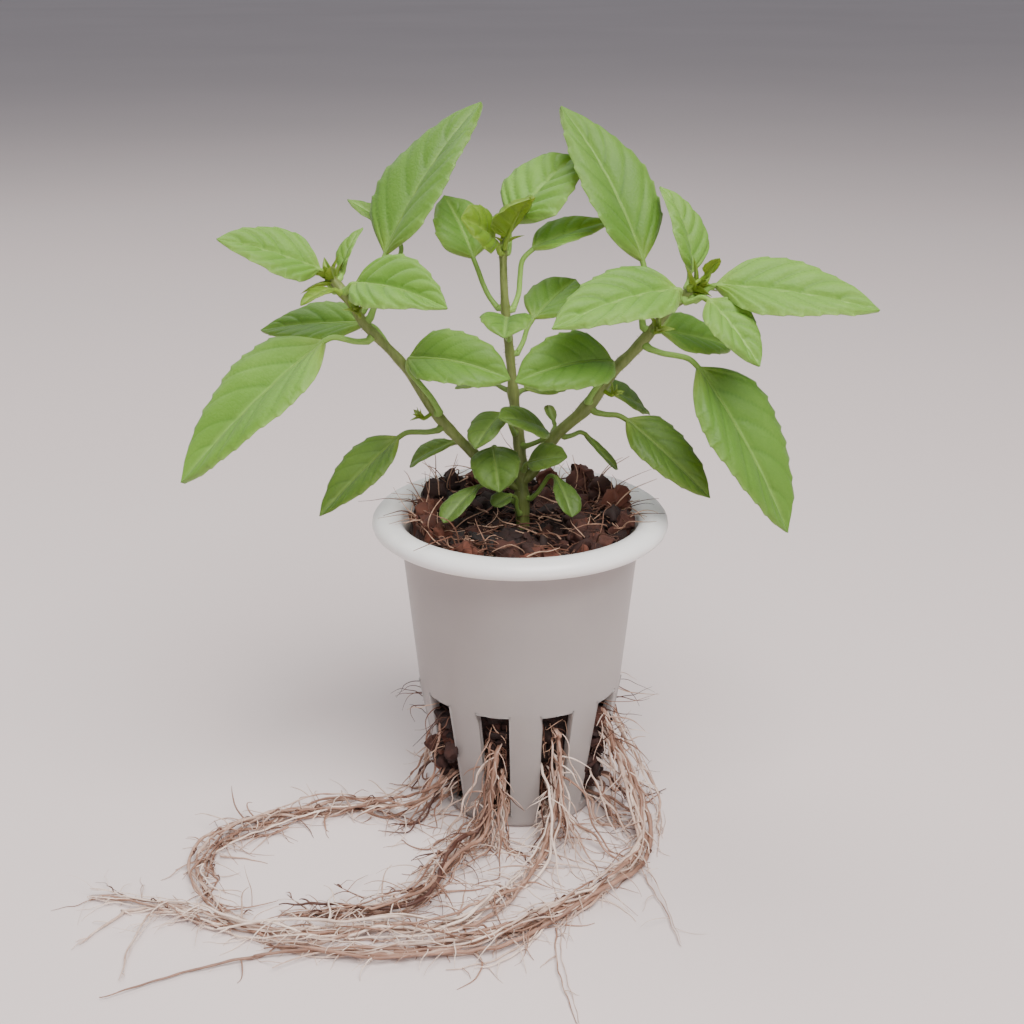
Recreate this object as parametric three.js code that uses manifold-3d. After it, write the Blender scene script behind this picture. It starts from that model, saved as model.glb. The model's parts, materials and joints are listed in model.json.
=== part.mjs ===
// Potted basil seedling in a slotted net cup, with the roots grown out of the slots.
// Millimetres, +Z up, the cup's base centred on the origin, the front towards -Y.
import * as THREE from 'three';
import Module from 'manifold-3d';

const wasm = await Module();
wasm.setup();
const { Manifold, Mesh } = wasm;

// Net cup
const CUP_HEIGHT = 66.8;
const BODY_TOP = CUP_HEIGHT - 5;
const LIP_RADIUS = 31;
const MOUTH_RADIUS = 24.6;
const WALL = 1.2;
const BASE_RADIUS = 16.9;
const SLOT_TOP = 29;
const SLOT_FOOT = 3;
const SLOTS = 10;
const FIRST_SLOT = -69.2; // degrees round from +X, a post lies just right of the front
const SLOT_TOP_WIDTH = 6.8;
const SLOT_FOOT_WIDTH = 5.2;
const CUP_SIDES = 60;

// Fits
const GAP = 0.3;
const PETIOLE = 0.55; // petiole radius
const BLADE_THICK = 0.7;

const rad = THREE.MathUtils.degToRad;
const vec = (p) => new THREE.Vector3(...p);

const plant = new THREE.Group();
plant.name = 'potted_basil';

function add(name, geometry, colour, roughness = 0.6) {
  const material = new THREE.MeshStandardMaterial({ color: colour, roughness, metalness: 0 });
  material.name = name;
  const mesh = new THREE.Mesh(geometry, material);
  mesh.name = name;
  plant.add(mesh);
  return mesh;
}

// ---------- solids ----------

function toManifold(geometry) {
  const made = new Mesh({
    numProp: 3,
    vertProperties: new Float32Array(geometry.attributes.position.array),
    triVerts: new Uint32Array(geometry.index.array),
  });
  made.merge();
  return new Manifold(made);
}

function fromManifold(solid) {
  const mesh = solid.getMesh();
  const geometry = new THREE.BufferGeometry();
  geometry.setAttribute('position', new THREE.BufferAttribute(mesh.vertProperties.slice(), 3));
  geometry.setIndex(new THREE.BufferAttribute(mesh.triVerts.slice(), 1));
  const split = geometry.toNonIndexed();
  split.computeVertexNormals();
  return split;
}

function solidFrom(points, faces) {
  const geometry = new THREE.BufferGeometry();
  geometry.setAttribute('position', new THREE.Float32BufferAttribute(points.flat(), 3));
  geometry.setIndex(faces.flat());
  return geometry;
}

// A closed skin over rings that all have the same number of points, with a point at each end.
// The rings run anticlockwise seen from the end point.
function skin(start, rings, end) {
  const n = rings[0].length;
  const points = [start, ...rings.flat(), end].map((p) => (p.isVector3 ? p.toArray() : p));
  const faces = [];
  const at = (i, j) => 1 + i * n + (j % n);
  for (let j = 0; j < n; j++) {
    faces.push([0, at(0, j + 1), at(0, j)]);
    faces.push([points.length - 1, at(rings.length - 1, j), at(rings.length - 1, j + 1)]);
  }
  for (let i = 0; i + 1 < rings.length; i++) {
    for (let j = 0; j < n; j++) {
      faces.push([at(i, j), at(i, j + 1), at(i + 1, j + 1)]);
      faces.push([at(i, j), at(i + 1, j + 1), at(i + 1, j)]);
    }
  }
  const geometry = solidFrom(points, faces).toNonIndexed();
  geometry.computeVertexNormals();
  return geometry;
}

// A frame carried along a line of points without twisting.
function frames(points, tangents, side) {
  const out = [];
  let right = side.clone();
  for (let i = 0; i < points.length; i++) {
    const ahead = tangents[i];
    right = right.clone().addScaledVector(ahead, -right.dot(ahead)).normalize();
    out.push({ right, up: right.clone().cross(ahead).normalize() });
  }
  return out;
}

// ---------- stems and roots ----------

const SIDES = 8;

function tube(controls, radii, rings) {
  const curve = new THREE.CatmullRomCurve3(controls.map(vec), false, 'centripetal');
  const us = Array.from({ length: rings }, (_, i) => i / (rings - 1));
  const points = us.map((u) => curve.getPointAt(u));
  const tangents = us.map((u) => curve.getTangentAt(u));
  const flat = Math.abs(tangents[0].z) > 0.8 ? new THREE.Vector3(1, 0, 0) : new THREE.Vector3(0, 0, 1);
  const frame = frames(points, tangents, flat);
  const size = (u) => {
    const k = u * (radii.length - 1);
    const i = Math.min(Math.floor(k), radii.length - 2);
    return THREE.MathUtils.lerp(radii[i], radii[i + 1], k - i);
  };
  const loops = us.map((u, i) =>
    Array.from({ length: SIDES }, (_, j) => {
      const turn = (2 * Math.PI * j) / SIDES;
      return points[i].clone()
        .addScaledVector(frame[i].right, size(u) * Math.cos(turn))
        .addScaledVector(frame[i].up, -size(u) * Math.sin(turn));
    }),
  );
  const start = points[0].clone().addScaledVector(tangents[0], -0.5 * size(0));
  const end = points.at(-1).clone().addScaledVector(tangents.at(-1), 0.8 * size(1));
  return { geometry: skin(start, loops, end), curve, size };
}

// ---------- leaves ----------

// Half width along the blade, as a share of the widest: [share of the length, share of the width].
const POINTED = [[0.05, 0.38], [0.15, 0.8], [0.31, 1], [0.52, 0.95], [0.73, 0.68], [0.9, 0.32]];
const BROAD = [[0.07, 0.48], [0.21, 0.9], [0.45, 1], [0.68, 0.88], [0.87, 0.56]];
const SPOON = [[0.12, 0.34], [0.34, 0.8], [0.6, 1], [0.82, 0.84], [0.94, 0.5]];

// A petiole and its blade in one piece. The petiole leaves the stem at root, the blade runs from
// heel to tip, bulging by arch along its own upper side. Fold lifts both halves of the blade,
// roll turns it about its length.
function leaf({ root, out, heel, tip, width, fold, roll, arch, outline, petioleRings }) {
  const chord = tip.clone().sub(heel);
  const length = chord.length();
  const ahead = chord.clone().normalize();
  const level = new THREE.Vector3(ahead.y, -ahead.x, 0).normalize();
  const right = level.clone().applyAxisAngle(ahead, -rad(roll));
  const up = right.clone().cross(ahead).normalize();
  const midrib = (t) => heel.clone().addScaledVector(chord, t).addScaledVector(up, 4 * arch * t * (1 - t));
  const along = (t) => chord.clone().addScaledVector(up, 4 * arch * (1 - 2 * t)).normalize();

  const reach = heel.distanceTo(root);
  const bend = new THREE.CubicBezierCurve3(
    root,
    root.clone().addScaledVector(out, reach * 0.35),
    heel.clone().addScaledVector(along(0), -reach * 0.35),
    heel,
  );
  const stalk = Array.from({ length: petioleRings }, (_, i) => i / petioleRings);
  const stalkPoints = stalk.map((u) => bend.getPointAt(u));
  const stalkTangents = stalk.map((u) => bend.getTangentAt(u));
  const carried = frames([heel, ...stalkPoints.toReversed()],
    [along(0), ...stalkTangents.toReversed()], right)
    .toReversed();
  const round = (centre, frame, radius) =>
    Array.from({ length: SIDES }, (_, j) => {
      const turn = (2 * Math.PI * j) / SIDES;
      return centre.clone()
        .addScaledVector(frame.right, radius * Math.cos(turn))
        .addScaledVector(frame.up, -radius * Math.sin(turn));
    });
  const rings = stalkPoints.map((p, i) => round(p, carried[i], PETIOLE));
  rings.push(round(heel, { right, up }, PETIOLE));

  const lift = rad(fold);
  for (const [t, share] of outline) {
    const centre = midrib(t);
    const over = right.clone().cross(along(t)).normalize();
    const half = share * width / 2;
    const thick = BLADE_THICK * (1 - 0.55 * t);
    const spot = (across, raise) =>
      centre.clone()
        .addScaledVector(right, across * half * Math.cos(lift))
        .addScaledVector(over, Math.abs(across) * half * Math.sin(lift) + raise);
    const puff = 0.05 * half;
    rings.push([
      spot(1, 0), spot(0.52, puff - thick * 0.3), spot(0, -thick * 0.6), spot(-0.52, puff - thick * 0.3),
      spot(-1, 0), spot(-0.52, puff + thick * 0.3), spot(0, thick * 0.4), spot(0.52, puff + thick * 0.3),
    ]);
  }
  const start = root.clone().addScaledVector(stalkTangents[0], -0.4 * PETIOLE);
  return skin(start, rings, tip);
}

// ---------- net cup and its coir ----------

function lathe(profile, sides) {
  const points = [];
  const faces = [];
  const n = profile.length;
  for (let i = 0; i < sides; i++) {
    const turn = (2 * Math.PI * i) / sides;
    for (const [r, z] of profile) points.push([r * Math.cos(turn), r * Math.sin(turn), z]);
  }
  for (let i = 0; i < sides; i++) {
    const next = (i + 1) % sides;
    for (let j = 0; j + 1 < n; j++) {
      faces.push([i * n + j, next * n + j, next * n + j + 1]);
      faces.push([i * n + j, next * n + j + 1, i * n + j + 1]);
    }
  }
  const low = points.push([0, 0, profile[0][1]]) - 1;
  const high = points.push([0, 0, profile.at(-1)[1]]) - 1;
  for (let i = 0; i < sides; i++) {
    const next = (i + 1) % sides;
    faces.push([low, next * n, i * n], [high, i * n + n - 1, next * n + n - 1]);
  }
  return solidFrom(points, faces);
}

// Inner radius of the cup's wall at a height.
const wallRadius = (z) => z < SLOT_TOP
  ? THREE.MathUtils.lerp(BASE_RADIUS, 21.9, z / SLOT_TOP) - WALL
  : THREE.MathUtils.lerp(21.9, 25.1, (z - SLOT_TOP) / (BODY_TOP - SLOT_TOP)) - WALL;

function netCup() {
  const profile = [
    [BASE_RADIUS - 0.6, 0], [BASE_RADIUS, 0.6], [21.9, SLOT_TOP], [25.1, BODY_TOP], [25.8, BODY_TOP + 0.9],
    [28.6, BODY_TOP + 0.6], [30.4, BODY_TOP + 1.4], [LIP_RADIUS, BODY_TOP + 3], [30.4, BODY_TOP + 4.2],
    [28.6, CUP_HEIGHT], [26.6, CUP_HEIGHT - 0.2], [25.2, CUP_HEIGHT - 1], [MOUTH_RADIUS, CUP_HEIGHT - 2.6],
    [wallRadius(BODY_TOP), BODY_TOP],
    [wallRadius(SLOT_TOP), SLOT_TOP], [wallRadius(2), 2],
  ];
  let cup = toManifold(lathe(profile, CUP_SIDES));
  const wedge = (turn) => {
    const [a, b] = [SLOT_FOOT_WIDTH / 2, SLOT_TOP_WIDTH / 2];
    const face = (r) => [[r, -a, SLOT_FOOT], [r, a, SLOT_FOOT], [r, b, SLOT_TOP], [r, -b, SLOT_TOP]];
    const box = solidFrom([...face(12), ...face(26)], [
      [0, 2, 1], [0, 3, 2], [4, 5, 6], [4, 6, 7], [0, 1, 5], [0, 5, 4],
      [1, 2, 6], [1, 6, 5], [2, 3, 7], [2, 7, 6], [3, 0, 4], [3, 4, 7],
    ]);
    return toManifold(box).rotate([0, 0, turn]);
  };
  for (let i = 0; i < SLOTS; i++) cup = cup.subtract(wedge(FIRST_SLOT + (360 / SLOTS) * i));
  return fromManifold(cup);
}

// Height of the coir's rough top: heaped against the wall at the back and both sides.
function coirTop(r, turn) {
  const side = Math.abs(Math.cos(turn));
  const back = Math.max(0, Math.sin(turn));
  const heap = 3.2 * side ** 2 + 3.4 * back;
  const rough = 0.8 * Math.sin(3 * turn + 1.1) + 0.6 * Math.sin(7 * turn + 0.4 * r);
  return 62 + heap * (r / 22) ** 1.5 + rough * (r / 22);
}

const STEM_HOLE = 1.8;

function coir(stemFoot) {
  const sides = 30;
  const outer = (z) => wallRadius(z) - GAP - 0.2;
  const rows = [[0.35, 2.3], [1, 2.3], [1, SLOT_TOP], [1, 58]];
  const points = [];
  const faces = [];
  const tops = [0.97, 0.72, 0.4];
  const n = rows.length + tops.length;
  for (let i = 0; i < sides; i++) {
    const turn = (2 * Math.PI * i) / sides;
    for (const [share, z] of rows) {
      points.push([share * outer(z) * Math.cos(turn), share * outer(z) * Math.sin(turn), z]);
    }
    for (const share of tops) {
      const r = share * 22.9;
      points.push([r * Math.cos(turn), r * Math.sin(turn), coirTop(r, turn)]);
    }
  }
  const low = points.push([0, 0, 2.3]) - 1;
  const high = points.push([0, 0, 61.8]) - 1;
  for (let i = 0; i < sides; i++) {
    const next = (i + 1) % sides;
    faces.push([low, next * n, i * n], [high, i * n + n - 1, next * n + n - 1]);
    for (let j = 0; j + 1 < n; j++) {
      faces.push([i * n + j, next * n + j, next * n + j + 1]);
      faces.push([i * n + j, next * n + j + 1, i * n + j + 1]);
    }
  }
  let plug = toManifold(solidFrom(points, faces));
  // clumps that bulge out through the slots
  const clump = (turn, r, z, size, height) => Manifold.sphere(1, 12)
    .scale([size, 2.2, height])
    .translate([r, 0, z])
    .rotate([0, 0, turn]);
  plug = plug.add(clump(FIRST_SLOT - 72, 18.5, 17, 5.2, 7));
  plug = plug.add(clump(FIRST_SLOT + 36, 16.6, 17, 3.9, 8));
  const hole = Manifold.cylinder(20, STEM_HOLE, STEM_HOLE, 16).translate([stemFoot[0], stemFoot[1], 52]);
  return fromManifold(plug.subtract(hole));
}

const STEM_FOOT = [0.8, 0, 53];
const PALE = 0xdedcd6;
add('net_cup', netCup(), PALE, 0.45);
add('coir_plug', coir(STEM_FOOT), 0x4a2418, 0.95);

// ---------- the three stems ----------

const stems = {
  main: tube([STEM_FOOT, [0.7, 0, 60], [0.4, 0, 68], [0, 0, 79], [-1.3, 0, 90.5], [-2.1, 0.2, 100],
    [-2.9, 0.5, 107.5], [-3.4, 1, 116.5], [-3.5, 1.5, 122.5]], [1.45, 1.3, 1.05, 0.85, 0.75], 12),
  left: tube([[-1.8, -0.5, 72.3], [-5.5, -1, 75.3], [-10, -1.8, 80], [-17, -2.3, 88], [-24, -3, 99.5],
    [-30, -3.8, 106], [-34.5, -4, 113], [-37, -4, 116.5]], [1.0, 1.05, 1.0, 0.9, 0.8], 11),
  right: tube([[2.7, -0.5, 74.5], [5.3, -1, 81], [13.8, -2.5, 90], [19.2, -3, 98], [24.8, -3.6, 104],
    [28.5, -4, 109.5], [34.2, -5, 114.6]], [1.05, 1.2, 1.15, 1.05, 0.85], 10),
};
add('main_stem', stems.main.geometry, 0x7f8f4a);
add('left_branch', stems.left.geometry, 0x8a9a52);
add('right_branch', stems.right.geometry, 0x8a9a52);

// The point of a stem at a height, with its radius and direction there.
function onStem(stem, z) {
  let [a, b] = [0, 1];
  for (let i = 0; i < 30; i++) {
    const mid = (a + b) / 2;
    if (stem.curve.getPointAt(mid).z < z) a = mid;
    else b = mid;
  }
  return { centre: stem.curve.getPointAt(a), radius: stem.size(a), ahead: stem.curve.getTangentAt(a) };
}

const LIGHT = 0x7fa64a;
const MID = 0x6a9440;
const DARK = 0x4d7229;
const YOUNG = 0x86a62c;

// [name, stem, height on it, heel, tip, width, fold, roll, arch, outline, colour]
const leaves = [
  ['left_low_outer', 'left', 86, [-25, -3, 83.5], [-41, -9, 68.5], 11.2, 14, 26, 0.6, POINTED, DARK],
  ['left_low_inner', 'left', 88.5, [-22, -7.6, 101.2], [-1.9, -15, 99], 12.6, 16, -46, 3, BROAD, MID],
  ['left_low_back', 'left', 80.5, [-13.5, 3.5, 80.5], [-23.5, 9, 73.5], 7, 14, 30, 0.6, SPOON, DARK],
  ['left_mid_outer', 'left', 105, [-39, -6, 104.3], [-67.5, -14, 77.5], 20.5, 14, 26, 1.4, POINTED, LIGHT],
  ['left_mid_back', 'left', 100.5, [-31.4, 0.4, 106.4], [-53.8, 9, 102.9], 11.8, 8, 30, 0.9, POINTED, MID],
  ['left_mid_up', 'left', 107.5, [-26.8, 0.5, 120.4], [-7.8, 12, 148.4], 18.6, 14, -12, 2, POINTED, LIGHT],
  ['left_mid_tuck', 'left', 109, [-25.5, 9.5, 123.5], [-35.5, 16, 128.6], 6, 12, 10, 0.4, POINTED, MID],
  ['left_top_front', 'left', 113.6, [-32, -8, 116.2], [-13.6, -20.5, 114.1], 14.5, 16, -36, 2,
    POINTED, LIGHT],
  ['left_top_outer', 'left', 114.6, [-39.2, -3.4, 118], [-58, -9, 125], 13.4, 12, 34, 0.7, POINTED, LIGHT],
  ['left_top_inner', 'left', 115.6, [-35.2, -2.2, 117.2], [-31, 0.5, 125.5], 6, 20, 0, 0.6, POINTED, LIGHT],
  ['left_top_small', 'left', 114, [-36.6, -7.6, 115], [-42, -14, 113.2], 5, 12, 2, 0.4, POINTED, YOUNG],
  ['right_low_outer', 'right', 90, [21.6, -4, 87.6], [38.4, -10, 72.8], 12, 12, -30, 0.8, POINTED, DARK],
  ['right_low_inner', 'right', 91, [18, -8, 100.8], [-1.2, -18.5, 99.4], 13.4, 16, 45, 2.8, BROAD, MID],
  ['right_low_back', 'right', 92.5, [18.5, 4, 91.2], [27, 13, 84.4], 9.5, 12, -34, 0.5, BROAD, DARK],
  ['right_base_outer', 'right', 84, [13.6, 0.4, 83.2], [20.5, 2, 74.8], 4.6, 12, -24, -0.3, SPOON, DARK],
  ['right_base_inner', 'right', 83, [7.2, 2.2, 84.6], [5.6, 6.5, 87.5], 2.6, 16, 6, 0.3, SPOON, DARK],
  ['right_mid_outer', 'right', 103.5, [35.2, -8, 99.5], [53.8, -14, 66.8], 20, 14, -30, 1.6, POINTED, MID],
  ['right_mid_back', 'right', 100, [28.6, 1.6, 104.6], [44.5, 9, 99.3], 11.5, 8, -34, 0.5, POINTED, MID],
  ['right_mid_up', 'right', 105.5, [24.2, -0.5, 119.2], [8, 12, 147.6], 18, 14, 14, 2.2, POINTED, LIGHT],
  ['right_top_outer', 'right', 113.6, [38, -5.8, 115.5], [69.3, -10.5, 111.5], 16.6, 12, -30, 1,
    POINTED, LIGHT],
  ['right_top_down', 'right', 112.8, [36.2, -10.2, 113.6], [45.5, -18, 102.3], 11.5, 10, -14, 0.6,
    POINTED, LIGHT],
  ['right_top_front', 'right', 112.2, [30.2, -9.5, 115.4], [5.6, -22, 110.6], 15.5, 12, 28, 1.8,
    POINTED, LIGHT],
  ['right_top_back', 'right', 113.6, [33.6, -1.4, 116.8], [27.4, 4, 133], 12.6, 16, -6, 1.8,
    POINTED, LIGHT],
  ['right_top_young', 'right', 114.2, [36, -6.4, 117.4], [38, -9.5, 121.4], 3.4, 16, 20, 0.2,
    POINTED, YOUNG],
  ['centre_top_front', 'main', 120.6, [-5, -2.2, 123.6], [-11.4, -8.2, 128.8], 10, 10, 56, 0.6,
    BROAD, YOUNG],
  ['centre_top_young', 'main', 121.6, [-2.7, -1.7, 124.2], [1.6, -5.8, 132.4], 11.4, 12, -6, 0.6,
    BROAD, YOUNG],
  ['centre_top_back', 'main', 120.4, [-1.6, 4.6, 126], [11.3, 12, 138], 17, 8, -16, 0.8, BROAD, LIGHT],
  ['centre_left', 'main', 109.5, [-9.4, 4, 119], [-15.5, 12.5, 130], 13, 12, 10, 0.8, POINTED, MID],
  ['centre_right', 'main', 109, [2.4, 5, 120.6], [18.5, 11.5, 125], 10.5, 14, -16, 0.5, POINTED, MID],
  ['centre_mid_back', 'main', 100, [2.6, 4.2, 106.6], [11.6, 13.5, 112.6], 11, 8, -16, 0.6, BROAD, MID],
  ['centre_mid_front', 'main', 103.5, [-2.7, -4.2, 108.6], [-3.2, -13, 106.6], 11, 16, 2, 0.8, BROAD, MID],
  ['centre_low_left', 'main', 84, [-3.6, -6, 89.6], [-9, -15, 84.9], 8.5, 16, -4, 0.6, BROAD, DARK],
  ['centre_low_right', 'main', 81, [5.3, -7.4, 86.2], [-4.4, -16, 91.6], 8.4, 5, 30, 1, BROAD, DARK],
  ['centre_low_far', 'main', 91.5, [1, 3.6, 91.8], [10, 12.5, 90.5], 7.5, 14, -30, 0.6, BROAD, DARK],
  ['centre_low_west', 'main', 92.5, [-5.8, 3.6, 93], [-13.4, 8.5, 91], 5.5, 16, 26, 0.5, SPOON, DARK],
  ['base_front', 'main', 76, [-5.6, -6, 82.4], [-4.2, -14, 75.4], 10, 8, -8, 1, BROAD, MID],
  ['base_left', 'main', 69, [-8.4, -8, 74.8], [-15.4, -15, 69.3], 6.2, 16, 6, 0.6, SPOON, MID],
  ['base_right', 'main', 69.5, [7.2, -4.5, 75.6], [10.4, -12, 69.4], 6.2, 16, 10, 0.6, SPOON, MID],
  ['base_small', 'main', 66.5, [-1.8, -5.5, 72], [-5.6, -9.8, 71], 4.2, 14, 20, 0.3, SPOON, MID],
  ['base_inner', 'main', 76, [1.6, -5.4, 78.9], [9.4, -10, 81.7], 6.6, 12, -44, 0.7, BROAD, DARK],
];

for (const [name, on, z, heelAt, tipAt, width, fold, roll, arch, outline, colour] of leaves) {
  const { centre, radius, ahead } = onStem(stems[on], z);
  const heel = vec(heelAt);
  const out = heel.clone().sub(centre);
  const aside = out.clone().addScaledVector(ahead, -out.dot(ahead)).normalize();
  const root = centre.clone().addScaledVector(aside, radius + GAP + PETIOLE * 1.25);
  out.copy(heel).sub(root).normalize().addScaledVector(aside, 0.5).normalize();
  const petioleRings = heel.distanceTo(root) > 8 ? 4 : heel.distanceTo(root) > 3.5 ? 3 : 2;
  const geometry = leaf({ root, out, heel, tip: vec(tipAt), width, fold, roll, arch, outline,
    petioleRings });
  add(`leaf_${name}`, geometry, colour, 0.55);
}

// ---------- buds in the leaf angles ----------

// [name, stem, height on it, heading, length, radius]
const buds = [
  ['bud_left_low', 'left', 88.5, 200, 3.2, 0.9],
  ['bud_right_low', 'right', 93.5, -30, 3, 0.9],
  ['bud_left_mid', 'left', 108.5, -75, 4.6, 0.8],
  ['bud_right_mid', 'right', 105.5, -80, 4.6, 0.8],
];
for (const [name, on, z, heading, length, radius] of buds) {
  const stem = onStem(stems[on], z);
  const away = new THREE.Vector3(Math.cos(rad(heading)), Math.sin(rad(heading)), 0.2);
  away.addScaledVector(stem.ahead, -away.dot(stem.ahead)).normalize();
  const lean = away.clone().multiplyScalar(0.5).add(stem.ahead).normalize();
  const foot = stem.centre.clone().addScaledVector(away, stem.radius + GAP + radius);
  const steps = [0.12, 0.4, 0.75].map((s) => foot.clone().addScaledVector(lean, s * length).toArray());
  add(name, tube(steps, [radius * 0.8, radius, radius * 0.5], 3).geometry, YOUNG);
}

// ---------- roots ----------

// [name, points, radii, rings]. The strands leave the slots and lie on the ground.
const roots = [
  ['root_left_loop', [[-17.6, -14.1, 9], [-21.5, -15.2, 6.5], [-27.5, -13, 3.4], [-36, -10.5, 2.1],
    [-44, -12, 2], [-50, -14.6, 2], [-58.5, -21, 2], [-63.8, -29, 2], [-65, -36, 1.9], [-61, -43, 1.8],
    [-53, -48.2, 1.5]], [2.1, 1.9, 1.9, 1.7, 1.2], 15],
  ['root_front_left', [[-5.4, -20.3, 17], [-5.7, -21.6, 12], [-6.2, -22.9, 7.5], [-8, -25.5, 3.4],
    [-11.5, -30, 2.4], [-15.5, -38, 2.4], [-20, -46.3, 2.3], [-26, -49.6, 2.1], [-35, -50.3, 1.9],
    [-46, -50, 1.5]], [1.5, 2.1, 2.3, 1.8, 1.2], 14],
  ['root_front_right', [[7.4, -19.4, 21.5], [7.8, -21.2, 15], [7.7, -22.8, 8], [6, -26.5, 3.2],
    [3.5, -33, 1.9], [0.5, -40, 1.8], [-6, -47, 1.8], [-14.5, -52.8, 1.8], [-27, -54.8, 1.8],
    [-40, -55.8, 1.8], [-52, -54.4, 1.7], [-62, -50.4, 1.6], [-70, -46.5, 1.5], [-78, -44.3, 1.2],
    [-85, -43, 0.8]], [1.3, 1.6, 1.7, 1.6, 1.5, 0.7], 18],
  ['root_right', [[18.6, -12.2, 22], [20.7, -13.6, 17], [23.2, -15.2, 10.5], [25, -18, 4.5],
    [25.2, -24, 2.2], [23.5, -31, 1.9], [18, -38.5, 1.8], [9, -47.5, 1.8], [-3, -56.2, 1.8],
    [-14, -60, 1.8], [-25, -61.2, 1.7], [-37, -60.6, 1.6], [-47, -58.6, 1.3]],
    [1.2, 1.5, 1.6, 1.6, 1.4, 1], 17],
  ['root_tail_far_left', [[-77.5, -48, 0.8], [-82, -55.5, 0.7], [-85, -66, 0.7], [-87, -76.5, 0.6]],
    [0.6, 0.35], 6],
  ['root_tail_left', [[-71.5, -50, 0.8], [-73.2, -59, 0.7], [-73, -68.5, 0.6]], [0.6, 0.35], 5],
  ['root_tail_low_left', [[-50, -61.4, 0.8], [-61.5, -65.6, 0.7], [-75.5, -73, 0.6]], [0.6, 0.35], 5],
  ['root_tail_front', [[1.5, -57, 0.8], [-4, -62.5, 0.7], [-11, -65, 0.6], [-19.5, -66, 0.6]],
    [0.6, 0.35], 6],
  ['root_tail_low_front', [[7.2, -53, 0.8], [7, -60, 0.7], [8, -70, 0.6], [10, -81.5, 0.6]],
    [0.6, 0.35], 6],
  ['root_tail_right', [[25.6, -35.5, 0.8], [28.2, -46, 0.7], [30.2, -58, 0.6]], [0.6, 0.35], 5],
  ['root_tail_arch', [[20.5, -0.8, 19], [24.5, -2, 13], [28.5, -5.5, 5], [30.3, -12, 1.2],
    [29.5, -20, 0.8], [28.6, -28, 0.7]], [0.7, 0.7, 0.45], 9],
];
for (const [name, points, radii, rings] of roots) {
  add(name, tube(points, radii, rings).geometry, name.includes('tail') ? 0xc9ab92 : 0xb98f76, 0.8);
}

export default plant;
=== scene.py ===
"""Looks for the potted basil seedling: net cup, coir, stems, leaves, buds and roots, built
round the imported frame. Lengths are in metres; MM turns millimetres into them."""

import json
import math
import random

import bpy
import numpy as np
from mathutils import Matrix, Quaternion, Vector
from mathutils.bvhtree import BVHTree


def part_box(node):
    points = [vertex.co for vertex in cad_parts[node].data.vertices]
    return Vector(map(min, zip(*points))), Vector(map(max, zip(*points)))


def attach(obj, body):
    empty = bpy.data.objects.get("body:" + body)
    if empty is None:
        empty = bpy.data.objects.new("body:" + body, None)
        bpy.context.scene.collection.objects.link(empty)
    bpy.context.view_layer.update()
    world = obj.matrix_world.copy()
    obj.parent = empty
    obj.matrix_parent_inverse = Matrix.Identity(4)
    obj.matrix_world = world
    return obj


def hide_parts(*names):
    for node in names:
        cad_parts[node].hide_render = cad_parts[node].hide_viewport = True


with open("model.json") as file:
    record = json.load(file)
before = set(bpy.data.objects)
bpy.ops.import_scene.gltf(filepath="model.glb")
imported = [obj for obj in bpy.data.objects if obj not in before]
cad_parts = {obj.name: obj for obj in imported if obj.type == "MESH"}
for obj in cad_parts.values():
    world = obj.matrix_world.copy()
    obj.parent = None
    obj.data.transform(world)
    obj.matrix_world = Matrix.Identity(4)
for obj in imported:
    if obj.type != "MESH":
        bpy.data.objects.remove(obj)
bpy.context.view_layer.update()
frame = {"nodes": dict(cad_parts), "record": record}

MM = 0.001
SLOT_OF = {s["node"]: s["material_slot"] for s in frame["record"]["subparts"]}
NODES = sorted(frame["nodes"])


# ---------- meshes ----------

def unit(v):
    v = np.asarray(v, float)
    return v / np.maximum(np.linalg.norm(v, axis=-1, keepdims=True), 1e-12)


class Build:
    """Gathers vertices, faces and per-vertex values for one mesh."""

    def __init__(self, *values):
        self.verts, self.faces, self.count = [], [], 0
        self.values = {name: [] for name in values}

    def add(self, verts, faces, **values):
        verts = np.asarray(verts, float).reshape(-1, 3)
        self.verts.append(verts)
        self.faces += [tuple(i + self.count for i in f) for f in faces]
        for name, kept in self.values.items():
            kept.append(np.broadcast_to(np.asarray(values.get(name, 0.0), float), (len(verts),)))
        self.count += len(verts)

    def tube(self, path, radii, sides=8, square=0.0, **values):
        """Adds a tube; a value may be one number or one for each point of the path."""
        per_vertex = lambda v: np.r_[np.repeat(v, sides), v[0], v[-1]] if np.ndim(v) else v
        self.add(*tube(path, radii, sides, square), **{name: per_vertex(v) for name, v in values.items()})

    def make(self, name, material, smooth=True):
        mesh = bpy.data.meshes.new(name)
        mesh.from_pydata(np.concatenate(self.verts).tolist(), [], self.faces)
        for key, kept in self.values.items():
            layer = mesh.attributes.new(key, "FLOAT", "POINT")
            layer.data.foreach_set("value", np.concatenate(kept).astype(np.float32))
        mesh.polygons.foreach_set("use_smooth", [smooth] * len(mesh.polygons))
        mesh.update()
        obj = bpy.data.objects.new(name, mesh)
        bpy.context.scene.collection.objects.link(obj)
        mesh.materials.append(material)
        return obj


def toward(turn):
    """The level direction at an angle round the cup."""
    return np.array([math.cos(turn), math.sin(turn), 0.0])


def smooth_path(points, count):
    """count points evenly spaced along a smooth curve through points."""
    p = np.asarray(points, float)
    p = np.vstack([2 * p[0] - p[1], p, 2 * p[-1] - p[-2]])
    t = np.linspace(0, 1, 16, endpoint=False)[:, None]
    out = []
    for a, b, c, d in zip(p, p[1:], p[2:], p[3:]):
        out.append(0.5 * (2 * b + (c - a) * t + (2 * a - 5 * b + 4 * c - d) * t ** 2
                          + (3 * b - a - 3 * c + d) * t ** 3))
    dense = np.vstack([*out, p[-2]])
    gone = np.r_[0, np.cumsum(np.linalg.norm(np.diff(dense, axis=0), axis=1))]
    want = np.linspace(0, gone[-1], count)
    return np.stack([np.interp(want, gone, dense[:, k]) for k in range(3)], 1)


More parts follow.
